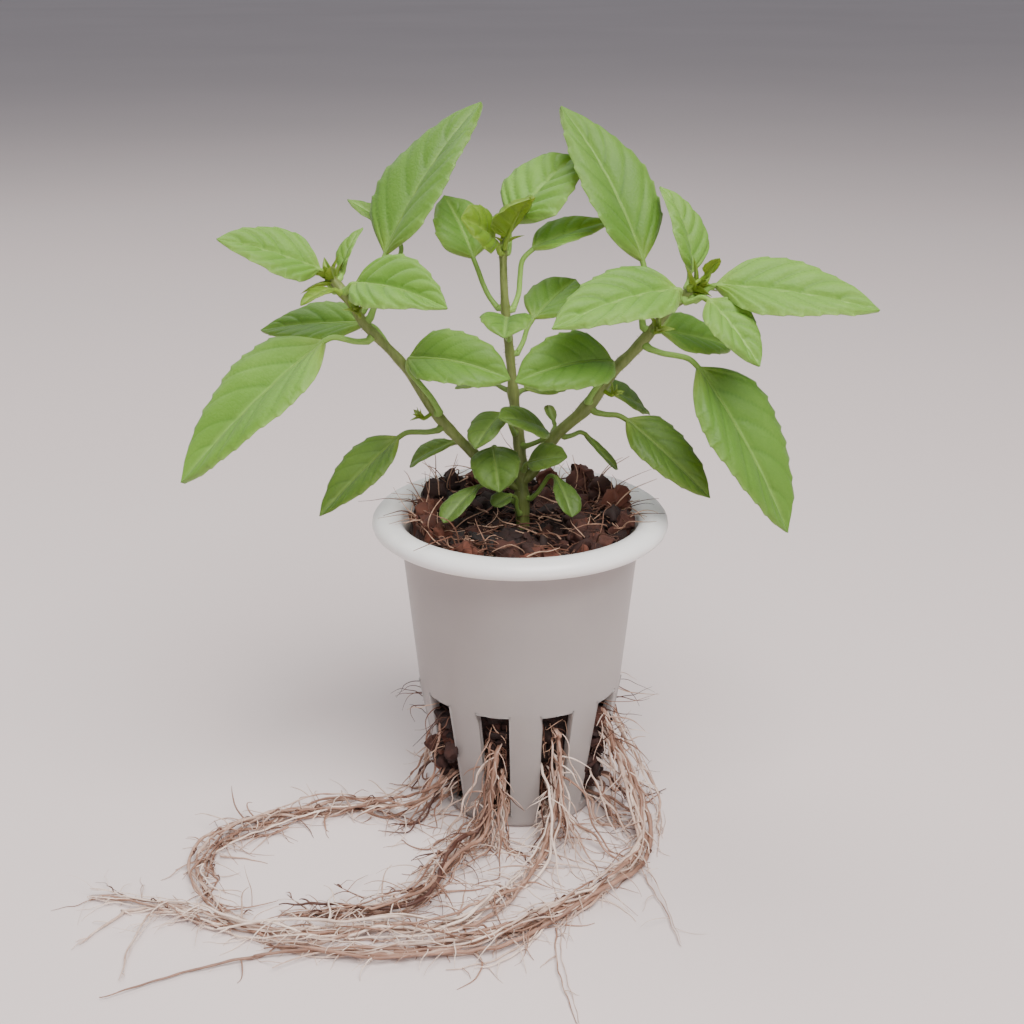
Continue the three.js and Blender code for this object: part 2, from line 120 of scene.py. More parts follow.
def tube(path, radii, sides=8, square=0.0):
    """Vertices and faces of a tube along path, pointed at both ends."""
    path = np.asarray(path, float)
    n = len(path)
    radii = np.broadcast_to(np.asarray(radii, float), (n,))
    ahead = unit(np.gradient(path, axis=0))
    side = np.array([0.0, 0.0, 1.0]) if abs(ahead[0][2]) < 0.9 else np.array([1.0, 0.0, 0.0])
    across = np.zeros((n, 3))
    for i in range(n):
        side = unit(side - ahead[i] * side.dot(ahead[i]))
        across[i] = side
    up = np.cross(across, ahead)
    turn = np.linspace(0, 2 * math.pi, sides, endpoint=False)
    shape = 1 + square * np.cos(4 * turn)
    spokes = np.cos(turn)[None, :, None] * across[:, None] - np.sin(turn)[None, :, None] * up[:, None]
    ring = path[:, None] + radii[:, None, None] * shape[None, :, None] * spokes
    verts = np.vstack([ring.reshape(-1, 3), path[0] - ahead[0] * radii[0] * 0.6,
                       path[-1] + ahead[-1] * radii[-1] * 0.9])
    faces = []
    for i in range(n - 1):
        for j in range(sides):
            k = (j + 1) % sides
            faces.append((i * sides + j, i * sides + k, (i + 1) * sides + k, (i + 1) * sides + j))
    first, last = n * sides, n * sides + 1
    for j in range(sides):
        k = (j + 1) % sides
        faces.append((first, k, j))
        faces.append((last, (n - 1) * sides + j, (n - 1) * sides + k))
    return verts, faces


# ---------- the frame's lofts ----------

def loft_of(node):
    """The rings of eight points that a CAD node is lofted from, with its two end points."""
    mesh = frame["nodes"][node].data
    place, ids = {}, []
    for v in mesh.vertices:
        key = tuple(round(c, 6) for c in v.co)
        ids.append(place.setdefault(key, len(place)))
    points = np.array(list(place))
    near = [set() for _ in points]
    for poly in mesh.polygons:
        loop = [ids[i] for i in poly.vertices]
        for a, b in zip(loop, loop[1:] + loop[:1]):
            if a != b:
                near[a].add(b)
                near[b].add(a)
    for start in range(len(points)):
        if len(near[start]) != 8:
            continue
        seen, layer, layers = {start}, [start], []
        while layer:
            layers.append(layer)
            layer = sorted({b for a in layer for b in near[a]} - seen)
            seen |= set(layer)
        if len(layers[-1]) == 1 and all(len(l) == 8 for l in layers[1:-1]):
            rings = np.array([points[l] for l in layers[1:-1]])
            return points[start], rings, points[layers[-1][0]]
    raise RuntimeError(f"{node} is not a loft of rings of eight")


def line_of(node):
    """Centre line and radii of a tube node."""
    start, rings, end = loft_of(node)
    middles = rings.mean(1)
    radii = np.linalg.norm(rings - middles[:, None], axis=2).mean(1)
    return np.vstack([start, middles, end]), np.r_[radii[0], radii, radii[-1] * 0.7]


STEMS = {name: line_of(name) for name in ("main_stem", "left_branch", "right_branch")}
for name, (line, radii) in STEMS.items():
    if line[0][2] > line[-1][2]:
        STEMS[name] = (line[::-1], radii[::-1])
STEM_LINES = {name: smooth_path(line, 120) for name, (line, _) in STEMS.items()}


def nearest_on_stems(point):
    """(distance, stem name, place on it) of the stem point nearest to a point."""
    best = None
    for name, line in STEM_LINES.items():
        gaps = np.linalg.norm(line - point, axis=1)
        i = int(gaps.argmin())
        if best is None or gaps[i] < best[0]:
            best = (gaps[i], name, line[i])
    return best


# ---------- materials ----------

class Nodes:
    """A small helper that makes and links shader nodes."""

    def __init__(self, name):
        self.material = bpy.data.materials.new(name)
        self.material.use_nodes = True
        self.tree = self.material.node_tree
        self.shader = self.tree.nodes["Principled BSDF"]

    def node(self, kind, inputs=(), **settings):
        node = self.tree.nodes.new(kind)
        for key, value in settings.items():
            setattr(node, key, value)
        for key, value in dict(inputs).items():
            self.set(node.inputs[key], value)
        return node

    def set(self, socket, value):
        if isinstance(value, bpy.types.NodeSocket):
            self.tree.links.new(value, socket)
        else:
            socket.default_value = value

    def noise(self, scale, detail=4.0, rough=0.55, vector=None):
        node = self.node("ShaderNodeTexNoise", {"Scale": scale, "Detail": detail, "Roughness": rough,
                                                "Vector": vector or self.place()})
        return node.outputs["Fac"]

    def place(self):
        return self.node("ShaderNodeTexCoord").outputs["Object"]

    def value(self, name):
        return self.node("ShaderNodeAttribute", attribute_name=name).outputs["Fac"]

    def ramp(self, factor, *stops):
        node = self.node("ShaderNodeValToRGB", {"Fac": factor})
        ramp = node.color_ramp
        while len(ramp.elements) < len(stops):
            ramp.elements.new(0.5)
        for element, (at, colour) in zip(ramp.elements, stops):
            element.position = at
            element.color = (*colour, 1)
        return node.outputs["Color"]

    def mix(self, factor, a, b):
        node = self.node("ShaderNodeMix", data_type="RGBA")
        for key, kind, value in (("Factor", "VALUE", factor), ("A", "RGBA", a), ("B", "RGBA", b)):
            socket = next(s for s in node.inputs if s.name == key and s.type == kind)
            self.set(socket, (*value, 1) if isinstance(value, tuple) else value)
        return next(s for s in node.outputs if s.type == "RGBA")

    def maths(self, operation, a, b):
        return self.node("ShaderNodeMath", {0: a, 1: b}, operation=operation).outputs[0]

    def blend(self, a, b, share):
        """Two values added together, with this share of the second."""
        return self.maths("ADD", self.maths("MULTIPLY", a, 1 - share), self.maths("MULTIPLY", b, share))

    def range(self, value, low, high, to_low=0.0, to_high=1.0):
        return self.node("ShaderNodeMapRange", {"Value": value, "From Min": low, "From Max": high,
                                                "To Min": to_low, "To Max": to_high}).outputs[0]

    def bump(self, height, strength, distance):
        node = self.node("ShaderNodeBump", {"Strength": strength, "Distance": distance, "Height": height})
        self.set(self.shader.inputs["Normal"], node.outputs[0])

    def finish(self, colour, roughness, **fixed):
        self.set(self.shader.inputs["Base Color"], colour)
        self.set(self.shader.inputs["Roughness"], roughness)
        for key, value in fixed.items():
            self.shader.inputs[key.replace("_", " ")].default_value = value
        return self.material


def leaf_material(name, deep, middle, pale, under):
    """Leaf skin: three close greens, darkened along the sunken side veins as painted shade, pale on the midrib
    and the teeth.
    """
    m = Nodes(name)
    mottle = m.noise(60.0, 4.0, 0.55)
    fine = m.noise(1100.0, 3.0, 0.6)
    mixed = m.blend(mottle, fine, 0.2)
    between = lambda a, b, t: tuple((1 - t) * x + t * y for x, y in zip(a, b))
    lighter = lambda times, plus: tuple(min(1.0, times * c + plus) for c in pale)
    share = lambda name, most: m.range(m.value(name), 0.0, 1.0, 0.0, most)
    skin = m.ramp(mixed, (0.30, between(deep, middle, 0.6)), (0.5, middle),
                  (0.72, between(middle, pale, 0.6)))
    base = m.mix(share("heel", 0.5), skin, between(pale, (0.30, 0.36, 0.05), 0.5))
    # painted shade: the sunken side veins are darkened towards the deep green, for the shade that falls in
    # their grooves
    groove_shade = m.mix(share("vein", 0.78), base, between(deep, middle, 0.05))
    rib = m.mix(share("rib", 0.80), groove_shade, lighter(1.35, 0.04))
    rim = m.mix(share("rim", 0.6), rib, lighter(1.5, 0.06))
    below = m.mix(m.value("under"), rim, m.ramp(mixed, (0.3, tuple(0.9 * c for c in under)), (0.7, under)))
    # the net of fine veins
    cells = m.node("ShaderNodeTexVoronoi", {"Scale": 1100.0}, feature="DISTANCE_TO_EDGE")
    m.set(cells.inputs["Vector"], m.place())
    net = m.range(cells.outputs["Distance"], 0.0, 0.25)
    colour = m.mix(m.maths("MULTIPLY", m.maths("SUBTRACT", 1.0, net), 0.10), below, deep)
    m.bump(m.maths("ADD", m.maths("MULTIPLY", net, 0.6), fine), 0.22, 0.0002)
    return m.finish(colour, m.range(mottle, 0.3, 0.7, 0.50, 0.62), Subsurface_Weight=0.15,
                    Subsurface_Radius=(0.0010, 0.0016, 0.0004), Subsurface_Scale=1.0,
                    Specular_IOR_Level=0.32, Sheen_Weight=0.06)


# deep, middle and pale skin, and the underside
GREENS = {
    "leaf_light": ((0.066, 0.165, 0.013), (0.130, 0.275, 0.032),
                   (0.208, 0.380, 0.064), (0.215, 0.340, 0.090)),
    "leaf_mid": ((0.050, 0.130, 0.010), (0.095, 0.208, 0.022),
                 (0.160, 0.302, 0.048), (0.180, 0.295, 0.074)),
    "leaf_dark": ((0.030, 0.072, 0.006), (0.059, 0.120, 0.011),
                  (0.098, 0.180, 0.021), (0.122, 0.212, 0.040)),
    "leaf_young": ((0.052, 0.112, 0.002), (0.095, 0.182, 0.004),
                   (0.158, 0.266, 0.009), (0.145, 0.240, 0.012)),
}
LEAF = {slot: leaf_material(f"skin_{slot}", *greens) for slot, greens in GREENS.items()}


def stem_material():
    m = Nodes("stem_skin")
    stretch = m.node("ShaderNodeMapping", {"Scale": (1.0, 1.0, 0.15)})
    m.set(stretch.inputs["Vector"], m.place())
    streak = m.noise(1500.0, 4.0, 0.6, stretch.outputs[0])
    mottle = m.noise(160.0, 4.0)
    skin = m.ramp(m.blend(streak, mottle, 0.5), (0.32, (0.080, 0.112, 0.018)),
                  (0.5, (0.146, 0.188, 0.040)), (0.7, (0.232, 0.280, 0.080)))
    old = m.mix(m.range(m.value("age"), 0.0, 1.0, 0.0, 0.5), skin, (0.085, 0.095, 0.030))
    m.bump(streak, 0.4, 0.0002)
    return m.finish(old, m.range(mottle, 0.3, 0.7, 0.5, 0.62), Subsurface_Weight=0.08,
                    Subsurface_Radius=(0.001, 0.0012, 0.0004), Subsurface_Scale=1.0)


STEM_SKIN = stem_material()


def cup_material():
    m = Nodes("milky_plastic")
    cloud = m.noise(28.0, 3.0, 0.5)
    grain = m.noise(1400.0, 2.0, 0.5)
    # painted shade: the body is painted a darker grey than the near-white lip, though both are one milky
    # plastic, for the shade on the body below the lit lip
    body = m.ramp(cloud, (0.3, (0.335, 0.302, 0.290)), (0.7, (0.385, 0.350, 0.336)))
    base = m.mix(m.value("lip"), body, (0.800, 0.785, 0.770))
    spots = m.range(m.noise(60.0, 5.0, 0.7), 0.56, 0.75)
    stain = m.mix(m.maths("MULTIPLY", spots, 0.18), base, (0.46, 0.42, 0.36))
    m.bump(grain, 0.12, 0.0001)
    return m.finish(stain, m.range(cloud, 0.3, 0.7, 0.30, 0.40), Subsurface_Weight=0.35,
                    Subsurface_Radius=(0.004, 0.0038, 0.0034), Subsurface_Scale=1.0)


def fibre_material(name, dark, middle, light, rough):
    """Fibres and roots: each strand has a shade of its own, with streaks and scars along it."""
    m = Nodes(name)
    spots = m.noise(420.0, 5.0, 0.65)
    colour = m.ramp(m.blend(m.value("shade"), spots, 0.38), (0.22, dark), (0.5, middle), (0.8, light))
    m.bump(m.noise(2600.0, 3.0, 0.6), 0.4, 0.0001)
    return m.finish(colour, m.range(spots, 0.3, 0.7, rough - 0.08, rough + 0.06))


def coir_material():
    m = Nodes("coir_pith")
    chunks = m.noise(220.0, 6.0, 0.7)
    crumbs = m.noise(1300.0, 5.0, 0.7)
    colour = m.ramp(m.blend(chunks, crumbs, 0.4), (0.38, (0.005, 0.002, 0.0015)),
                    (0.54, (0.024, 0.007, 0.005)), (0.72, (0.085, 0.026, 0.014)))
    m.bump(m.maths("ADD", crumbs, chunks), 0.9, 0.0008)
    return m.finish(colour, m.range(crumbs, 0.3, 0.7, 0.85, 0.97))


CUP_PLASTIC = cup_material()
COIR = coir_material()
FIBRE = fibre_material("coir_fibre", (0.034, 0.011, 0.006), (0.130, 0.050, 0.028),
                       (0.540, 0.340, 0.235), 0.75)
CHIP = fibre_material("coir_chip", (0.007, 0.0025, 0.002), (0.033, 0.0095, 0.0065),
                      (0.120, 0.036, 0.020), 0.85)
ROOT = fibre_material("root_skin", (0.070, 0.024, 0.015), (0.350, 0.195, 0.135),
                      (0.800, 0.640, 0.545), 0.55)


def keep(obj, slot, *nodes):
    """Rides a finished piece on the object and lets it stand for its CAD nodes."""
    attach(obj, "root")
    if nodes:
        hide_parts(*nodes)


# ---------- leaves ----------

LEAF_VALUES = ("vein", "rib", "rim", "heel", "under")


def blade_of(node):
    """The petiole's line and the blade's midrib, edges and width at each ring."""
    start, rings, end = loft_of(node)
    if nearest_on_stems(start)[0] > nearest_on_stems(end)[0]:
        start, rings, end = end, rings[::-1], start
    middles = rings.mean(1)
    spread = np.linalg.norm(rings - middles[:, None], axis=2)
    is_round = spread.std(1) < 0.1 * spread.mean(1)
    stalk = [start, *middles[is_round]]
    rows = []
    for ring in rings[~is_round]:
        gaps = np.linalg.norm(ring[:, None] - ring[None], axis=2)
        a, b = np.unravel_index(gaps.argmax(), gaps.shape)
        away = np.abs((ring - (ring[a] + ring[b]) / 2) @ unit(ring[b] - ring[a]))
        inner = np.argsort(away)[:2]
        rows.append((ring[inner].mean(0), ring[a], ring[b]))
    return np.array(stalk), rows, end


def interpolate(at, values, want):
    """Smooth values at want, from values at at, without overshooting much."""
    values = np.asarray(values, float)
    flat = values.reshape(len(at), -1)
    slope = np.gradient(flat, at, axis=0)
    i = np.clip(np.searchsorted(at, want, "right") - 1, 0, len(at) - 2)
    h = (at[i + 1] - at[i])[:, None]
    t = ((want - at[i])[:, None]) / h
    out = ((2 * t ** 3 - 3 * t ** 2 + 1) * flat[i] + (t ** 3 - 2 * t ** 2 + t) * h * slope[i]
           + (-2 * t ** 3 + 3 * t ** 2) * flat[i + 1] + (t ** 3 - t ** 2) * h * slope[i + 1])
    return out.reshape(len(want), *values.shape[1:])


def sheet_faces(rows, columns):
    """Faces of a closed thin sheet: rows x columns on top, the same below, and one tip point."""
    top = lambda i, j: i * columns + j
    low = lambda i, j: rows * columns + i * columns + j
    tip = 2 * rows * columns
    last = columns - 1
    faces = []
    for i in range(rows - 1):
        for j in range(columns - 1):
            faces.append((top(i, j), top(i, j + 1), top(i + 1, j + 1), top(i + 1, j)))
            faces.append((low(i, j), low(i + 1, j), low(i + 1, j + 1), low(i, j + 1)))
        faces.append((top(i, 0), top(i + 1, 0), low(i + 1, 0), low(i, 0)))
        faces.append((top(i, last), low(i, last), low(i + 1, last), top(i + 1, last)))
    for j in range(columns - 1):
        faces.append((top(rows - 1, j), top(rows - 1, j + 1), tip))
        faces.append((low(rows - 1, j + 1), low(rows - 1, j), tip))
        faces.append((top(0, j + 1), top(0, j), low(0, j), low(0, j + 1)))
    faces.append((top(rows - 1, last), low(rows - 1, last), tip))
    faces.append((low(rows - 1, 0), top(rows - 1, 0), tip))
    return faces


def add_blade(build, midrib, right, up, half, lift, length, chance, veins, teeth, puffy=1.0):
    """One blade: midrib line, its right and up directions, half widths and fold angles."""
    rows = len(midrib)
    columns = 41 if length > 20 * MM else 29 if length > 9 * MM else 15
    widest = half.max()
    s = np.linspace(0, 1, rows)[:, None]
    u = np.linspace(-1, 1, columns)[None]
    a = np.abs(u)
    # margin teeth, pointing forward
    phase = np.where(u < 0, chance.random(), chance.random())
    saw = np.mod(s * teeth + phase + 0.12 * np.sin(9 * s + 5 * phase), 1.0)
    tooth = np.where(saw < 0.82, saw / 0.82, (1 - saw) / 0.18) ** 1.6
    reach = np.clip((s - 0.10) / 0.15, 0, 1) * np.clip((0.95 - s) / 0.1, 0, 1)
    bite = min(0.5 * MM, 0.055 * widest) * (tooth - 0.3) * reach * a ** 6
    wide = half[:, None] * a + bite
    # side veins sweep forward from the midrib and the blade puffs up between them
    sweep = (0.32 * a + 0.12 * a ** 2.4) * np.clip(1.15 - 0.45 * s, 0, 2)
    g = (s - sweep + 0.05) * veins / 0.80 + np.where(u < 0, chance.uniform(0.1, 0.3), 0.0)
    g = g + 0.10 * np.sin(2.3 * g + 6.28 * phase)
    cell = np.mod(g, 1.0)
    from_vein = np.minimum(cell, 1 - cell) * 2
    inside = np.clip(a / 0.10, 0, 1) * np.clip((1 - a) / 0.20, 0, 1) ** 0.7
    along = np.clip(s / 0.08, 0, 1) * np.clip((1 - s) / 0.2, 0, 1)
    puff = 0.5 * (1 - np.exp(-(from_vein / 0.24) ** 1.6)) + 0.5 * np.sin(0.5 * math.pi * from_vein)
    quilt = min(0.34 * MM, 0.045 * widest) * puffy * puff * inside * along
    groove = -min(0.35 * MM, 0.06 * widest) * np.exp(-(a * half[:, None] / (0.55 * MM)) ** 2) * along
    round_up = 0.085 * half[:, None] * np.sin(math.pi * a)
    p1, p2, p3 = (chance.uniform(0, 2 * math.pi) for _ in range(3))
    wave = (0.032 * widest * a ** 2.5 * np.sin(2 * math.pi * (1.4 * s + 0.25 * np.sign(u)) + p1)
            + 0.014 * widest * a ** 3 * np.sin(2 * math.pi * 3.6 * s + p2 + np.sign(u))) * along
    curl = -0.07 * widest * np.clip((a - 0.7) / 0.3, 0, 1) ** 2 * (1 + 0.5 * np.sin(5 * s + p3))
    height = quilt + groove + round_up + wave + curl
    sign = np.sign(u)
    flat = wide * np.cos(lift)[:, None]
    rise = wide * np.sin(lift)[:, None]
    top = midrib[:, None] + right[:, None] * (sign * flat)[..., None]
    top = top + up[:, None] * (rise + height)[..., None]
    thick = np.minimum(0.30 * MM, 0.04 * widest) * (1 - 0.7 * a ** 4) * (1 - 0.5 * s)
    low = top - up[:, None] * thick[..., None]
    tip = 2 * midrib[-1] - midrib[-2]
    verts = np.vstack([top.reshape(-1, 3), low.reshape(-1, 3), tip])
    # the vein mask marks where the leaf skin gets painted shade in the vein grooves
    vein_shade_line = np.exp(-(from_vein / 0.10) ** 2) * np.clip((1 - a) / 0.15, 0, 1) * (1 - 0.5 * a) * along
    rib_line = np.exp(-(a * half[:, None] / (0.34 * MM)) ** 2) * np.clip((1 - s) / 0.2, 0, 1)
    rim_line = np.clip((a - 0.93) / 0.07, 0, 1) * (0.35 + 0.65 * np.clip((tooth - 0.5) * 2, 0, 1))
    heel = np.exp(-(s / 0.10) ** 2)
    both = lambda x: np.r_[np.tile(np.broadcast_to(x, top.shape[:2]).ravel(), 2), 0]
    under = np.r_[np.zeros(rows * columns), np.ones(rows * columns), 0.5]
    build.add(verts, sheet_faces(rows, columns), vein=both(vein_shade_line), rib=both(rib_line),
              rim=both(rim_line), heel=both(heel), under=under)


def make_leaf(node):
    chance = random.Random(node)
    stalk, rows, tip = blade_of(node)
    middle = np.array([stalk[-1], *[r[0] for r in rows], tip])
    ahead = unit(np.gradient(middle, axis=0))
    rights, ups, halves, lifts = [], [], [], []
    for k, (centre, a, b) in enumerate(rows, 1):
        rise = (a + b) / 2 - centre
        up = unit(rise - ahead[k] * rise.dot(ahead[k]))
        span = (b - a) if (b - a).dot(np.cross(ahead[k], up)) > 0 else (a - b)
        rights.append(unit(span))
        ups.append(unit(np.cross(rights[-1], ahead[k])))
        halves.append(np.linalg.norm(span) / 2)
        lifts.append(math.atan2(rise.dot(ups[-1]), halves[-1]))
    rights = np.array([rights[0], *rights, rights[-1]])
    ups = np.array([ups[0], *ups, ups[-1]])
    halves = np.array([0.5 * MM, *halves, 0.0])
    lifts = np.array([lifts[0], *lifts, lifts[-1]])
    gone = np.r_[0, np.cumsum(np.linalg.norm(np.diff(middle, axis=0), axis=1))]
    length = gone[-1]
    count = 140 if length > 20 * MM else 90 if length > 9 * MM else 40
    want = np.linspace(0, 1, count + 1)[:-1] * length
    midrib = interpolate(gone, middle, want)
    right = unit(interpolate(gone, rights, want))
    up = unit(interpolate(gone, ups, want))
    half = np.maximum(interpolate(gone, halves[:, None], want)[:, 0], 0.12 * MM)
    lift = interpolate(gone, lifts[:, None], want)[:, 0]
    build = Build(*LEAF_VALUES)
    veins = 4.0 if length > 18 * MM else 3.4 if length > 12 * MM else 2.8
    teeth = max(4, round(length / (3.4 * MM)))
    puffy = 1.9 if "_top_" in node else 0.7 if "_low_" in node or "base" in node else 0.9
    add_blade(build, midrib, right, up, half, lift, length, chance, veins, teeth, puffy)
    # petiole, which runs on below the blade as the midrib
    foot = nearest_on_stems(stalk[0])[2]
    under = (midrib - up * 0.30 * MM)[: int(count * 0.94)]
    line = np.vstack([foot + (stalk[0] - foot) * 0.35, stalk[:-1], under[:: count // 14]])
    path = smooth_path(line, 70)
    run = np.r_[0, np.cumsum(np.linalg.norm(np.diff(path, axis=0), axis=1))]
    to_heel = np.linalg.norm(np.diff(np.vstack([foot, stalk]), axis=0), axis=1).sum()
    size = min(1.0, 0.62 + 0.38 * length / (26 * MM))
    radii = np.interp(run, [0, 1.5 * MM, 3 * MM, to_heel, to_heel + 0.25 * length, run[-1]],
                      np.array([0.95, 0.74, 0.64, 0.58, 0.36, 0.10]) * MM * size)
    build.tube(path, radii, 10, rib=np.clip(1 - run / to_heel, 0.25, 0.6),
               heel=np.interp(run, [0, to_heel], [0.9, 0.6]))
    slot = SLOT_OF[node]
    # painted shade: the two upper middle leaves take the darker leaf_mid greens because they stand in shade;
    # leaf_centre_right takes the light greens and the base leaves the darkest
    skin = "leaf_mid" if node.endswith("mid_up") else "leaf_light" if node == "leaf_centre_right" else (
        "leaf_dark" if "_base_" in node else slot)
    keep(build.make(f"blade_{node[5:]}", LEAF[skin]), slot, node)


for node in NODES:
    if node.startswith("leaf_"):
        make_leaf(node)


# ---------- stems ----------

def add_leaflet(build, foot, ahead, up, length, width, chance):
    """A tiny young leaf, for the growing tips."""
    rows = 18
    t = np.linspace(0, 1, rows, endpoint=False)
    ahead, up = unit(ahead), unit(up - unit(ahead) * np.dot(up, unit(ahead)))
    bend = up * (0.25 * length)
    midrib = foot + ahead * (t * length)[:, None] - bend * (t ** 2)[:, None]
    right = np.broadcast_to(np.cross(ahead, up), (rows, 3))
    ups = np.broadcast_to(up, (rows, 3))
    half = np.maximum(width / 2 * np.sin(math.pi * t ** 0.75) ** 0.9, 0.15 * MM)
    add_blade(build, midrib, right, ups, half, np.full(rows, 0.55), length, chance, 3, 5)


def make_stem(name):
    chance = random.Random(name)
    line, radii = STEMS[name]
    path = smooth_path(line, 160)
    s = np.linspace(0, 1, 160)
    size = np.interp(s, np.linspace(0, 1, len(radii)), radii) * 0.96
    # swollen where leaves join
    for node in NODES:
        if node.startswith("leaf_"):
            stalk = blade_of(node)[0]
            _, stem, foot = nearest_on_stems(stalk[0])
            if stem == name:
                gone = np.linalg.norm(path - foot, axis=1)
                size = size * (1 + 0.14 * np.exp(-(gone / (1.4 * MM)) ** 2))
    size = np.minimum(size, np.interp(s, [0, 1], [2.0 * MM, 1.2 * MM]))
    if name != "main_stem":  # runs into the main stem
        main = STEM_LINES["main_stem"]
        join = main[int(np.linalg.norm(main - (path[0] - [0, 0, 1.5 * MM]), axis=1).argmin())]
        path = smooth_path(np.vstack([join, path[6::12], path[-1]]), 160)
    build = Build("age")
    old = np.clip(1 - s * 1.6, 0, 1) if name == "main_stem" else np.clip(0.5 - s, 0, 1)
    build.tube(path, size, 16, square=0.05, age=old)
    # short soft hairs
    ahead = unit(np.gradient(path, axis=0))
    for _ in range(240):
        i = chance.randrange(8, 158)
        turn = chance.uniform(0, 2 * math.pi)
        side = unit(np.cross(ahead[i], [0.3, 0.9, 0.2]))
        out = side * math.cos(turn) + np.cross(ahead[i], side) * math.sin(turn)
        foot = path[i] + out * size[i] * 0.9
        long = chance.uniform(0.35, 0.7) * MM
        middle = foot + (out + 0.3 * ahead[i]) * long * 0.6
        hair = np.array([foot, middle, foot + (out + 0.1 * ahead[i]) * long])
        build.tube(hair, np.array([0.035, 0.03, 0.015]) * MM, 4)
    keep(build.make(f"skin_{name}", STEM_SKIN), "stem", name)


for name in STEMS:
    make_stem(name)


# ---------- buds and growing tips ----------

def make_bud(node):
    chance = random.Random(node)
    start, _, end = loft_of(node)
    if nearest_on_stems(start)[0] > nearest_on_stems(end)[0]:
        start, end = end, start
    axis = unit(end - start)
    reach = np.linalg.norm(end - start)
    foot = nearest_on_stems(start)[2]
    build = Build(*LEAF_VALUES)
    stalk = [foot, start + 0.2 * (end - start), start + 0.5 * (end - start)]
    build.tube(smooth_path(stalk, 10), 0.45 * MM, heel=0.7)
    side = unit(np.cross(axis, [0.2, 0.5, 0.8]))
    other = np.cross(axis, side)
    for k in range(6):
        turn = 2.4 * k + chance.uniform(-0.3, 0.3)
        out = side * math.cos(turn) + other * math.sin(turn)
        lean = 0.15 + 0.10 * k
        size = reach * (0.75 + 0.10 * k)
        heel = start + axis * reach * (0.35 - 0.04 * k)
        add_leaflet(build, heel, axis * (1.1 - 0.4 * lean) + out * lean, -out, size, size * 0.46, chance)
    keep(build.make(f"shoot_{node}", LEAF["leaf_young"]), "leaf_young", node)


for node in NODES:
    if node.startswith("bud_"):
        make_bud(node)


def make_crown(name, leaflets, size):
    """The cluster of young leaves that closes a stem."""
    chance = random.Random(name + "crown")
    line = STEM_LINES[name]
    axis = unit(line[-1] - line[-8])
    side = unit(np.cross(axis, [0.1, 1, 0.2]))
    other = np.cross(axis, side)
    build = Build(*LEAF_VALUES)
    for k in range(leaflets):
        turn = 2.4 * k + chance.uniform(-0.4, 0.4)
        out = side * math.cos(turn) + other * math.sin(turn)
        lean = 0.25 + 0.75 * k / leaflets
        long = size * (0.55 + 0.6 * k / leaflets) * chance.uniform(0.85, 1.15)
        foot = line[-1] - axis * (0.5 * MM + 0.22 * MM * k)
        add_leaflet(build, foot, axis * (1.1 - 0.5 * lean) + out * lean, -out, long, long * 0.44, chance)
    keep(build.make(f"crown_{name}", LEAF["leaf_young"]), "leaf_young")


make_crown("main_stem", 5, 4.2 * MM)
make_crown("left_branch", 9, 6.5 * MM)
make_crown("right_branch", 10, 7.0 * MM)


# ---------- net cup ----------

BASE_RADIUS, SLOT_TOP_RADIUS, BODY_RADIUS = 16.9 * MM, 21.9 * MM, 25.1 * MM
SLOT_FOOT, SLOT_TOP, BODY_TOP, WALL = 3.0 * MM, 29.0 * MM, 61.8 * MM, 1.3 * MM
SLOT_TURNS = [math.radians(-69.2 + 36 * k) for k in range(10)]
LIP_TOP = 67.3 * MM  # what passes over the lip stays above this


def cup_wall(z):
    """Outer radius of the cup's wall at a height."""
    if z < SLOT_TOP:
        return BASE_RADIUS + (SLOT_TOP_RADIUS - BASE_RADIUS) * z / SLOT_TOP
    return SLOT_TOP_RADIUS + (BODY_RADIUS - SLOT_TOP_RADIUS) * (z - SLOT_TOP) / (BODY_TOP - SLOT_TOP)


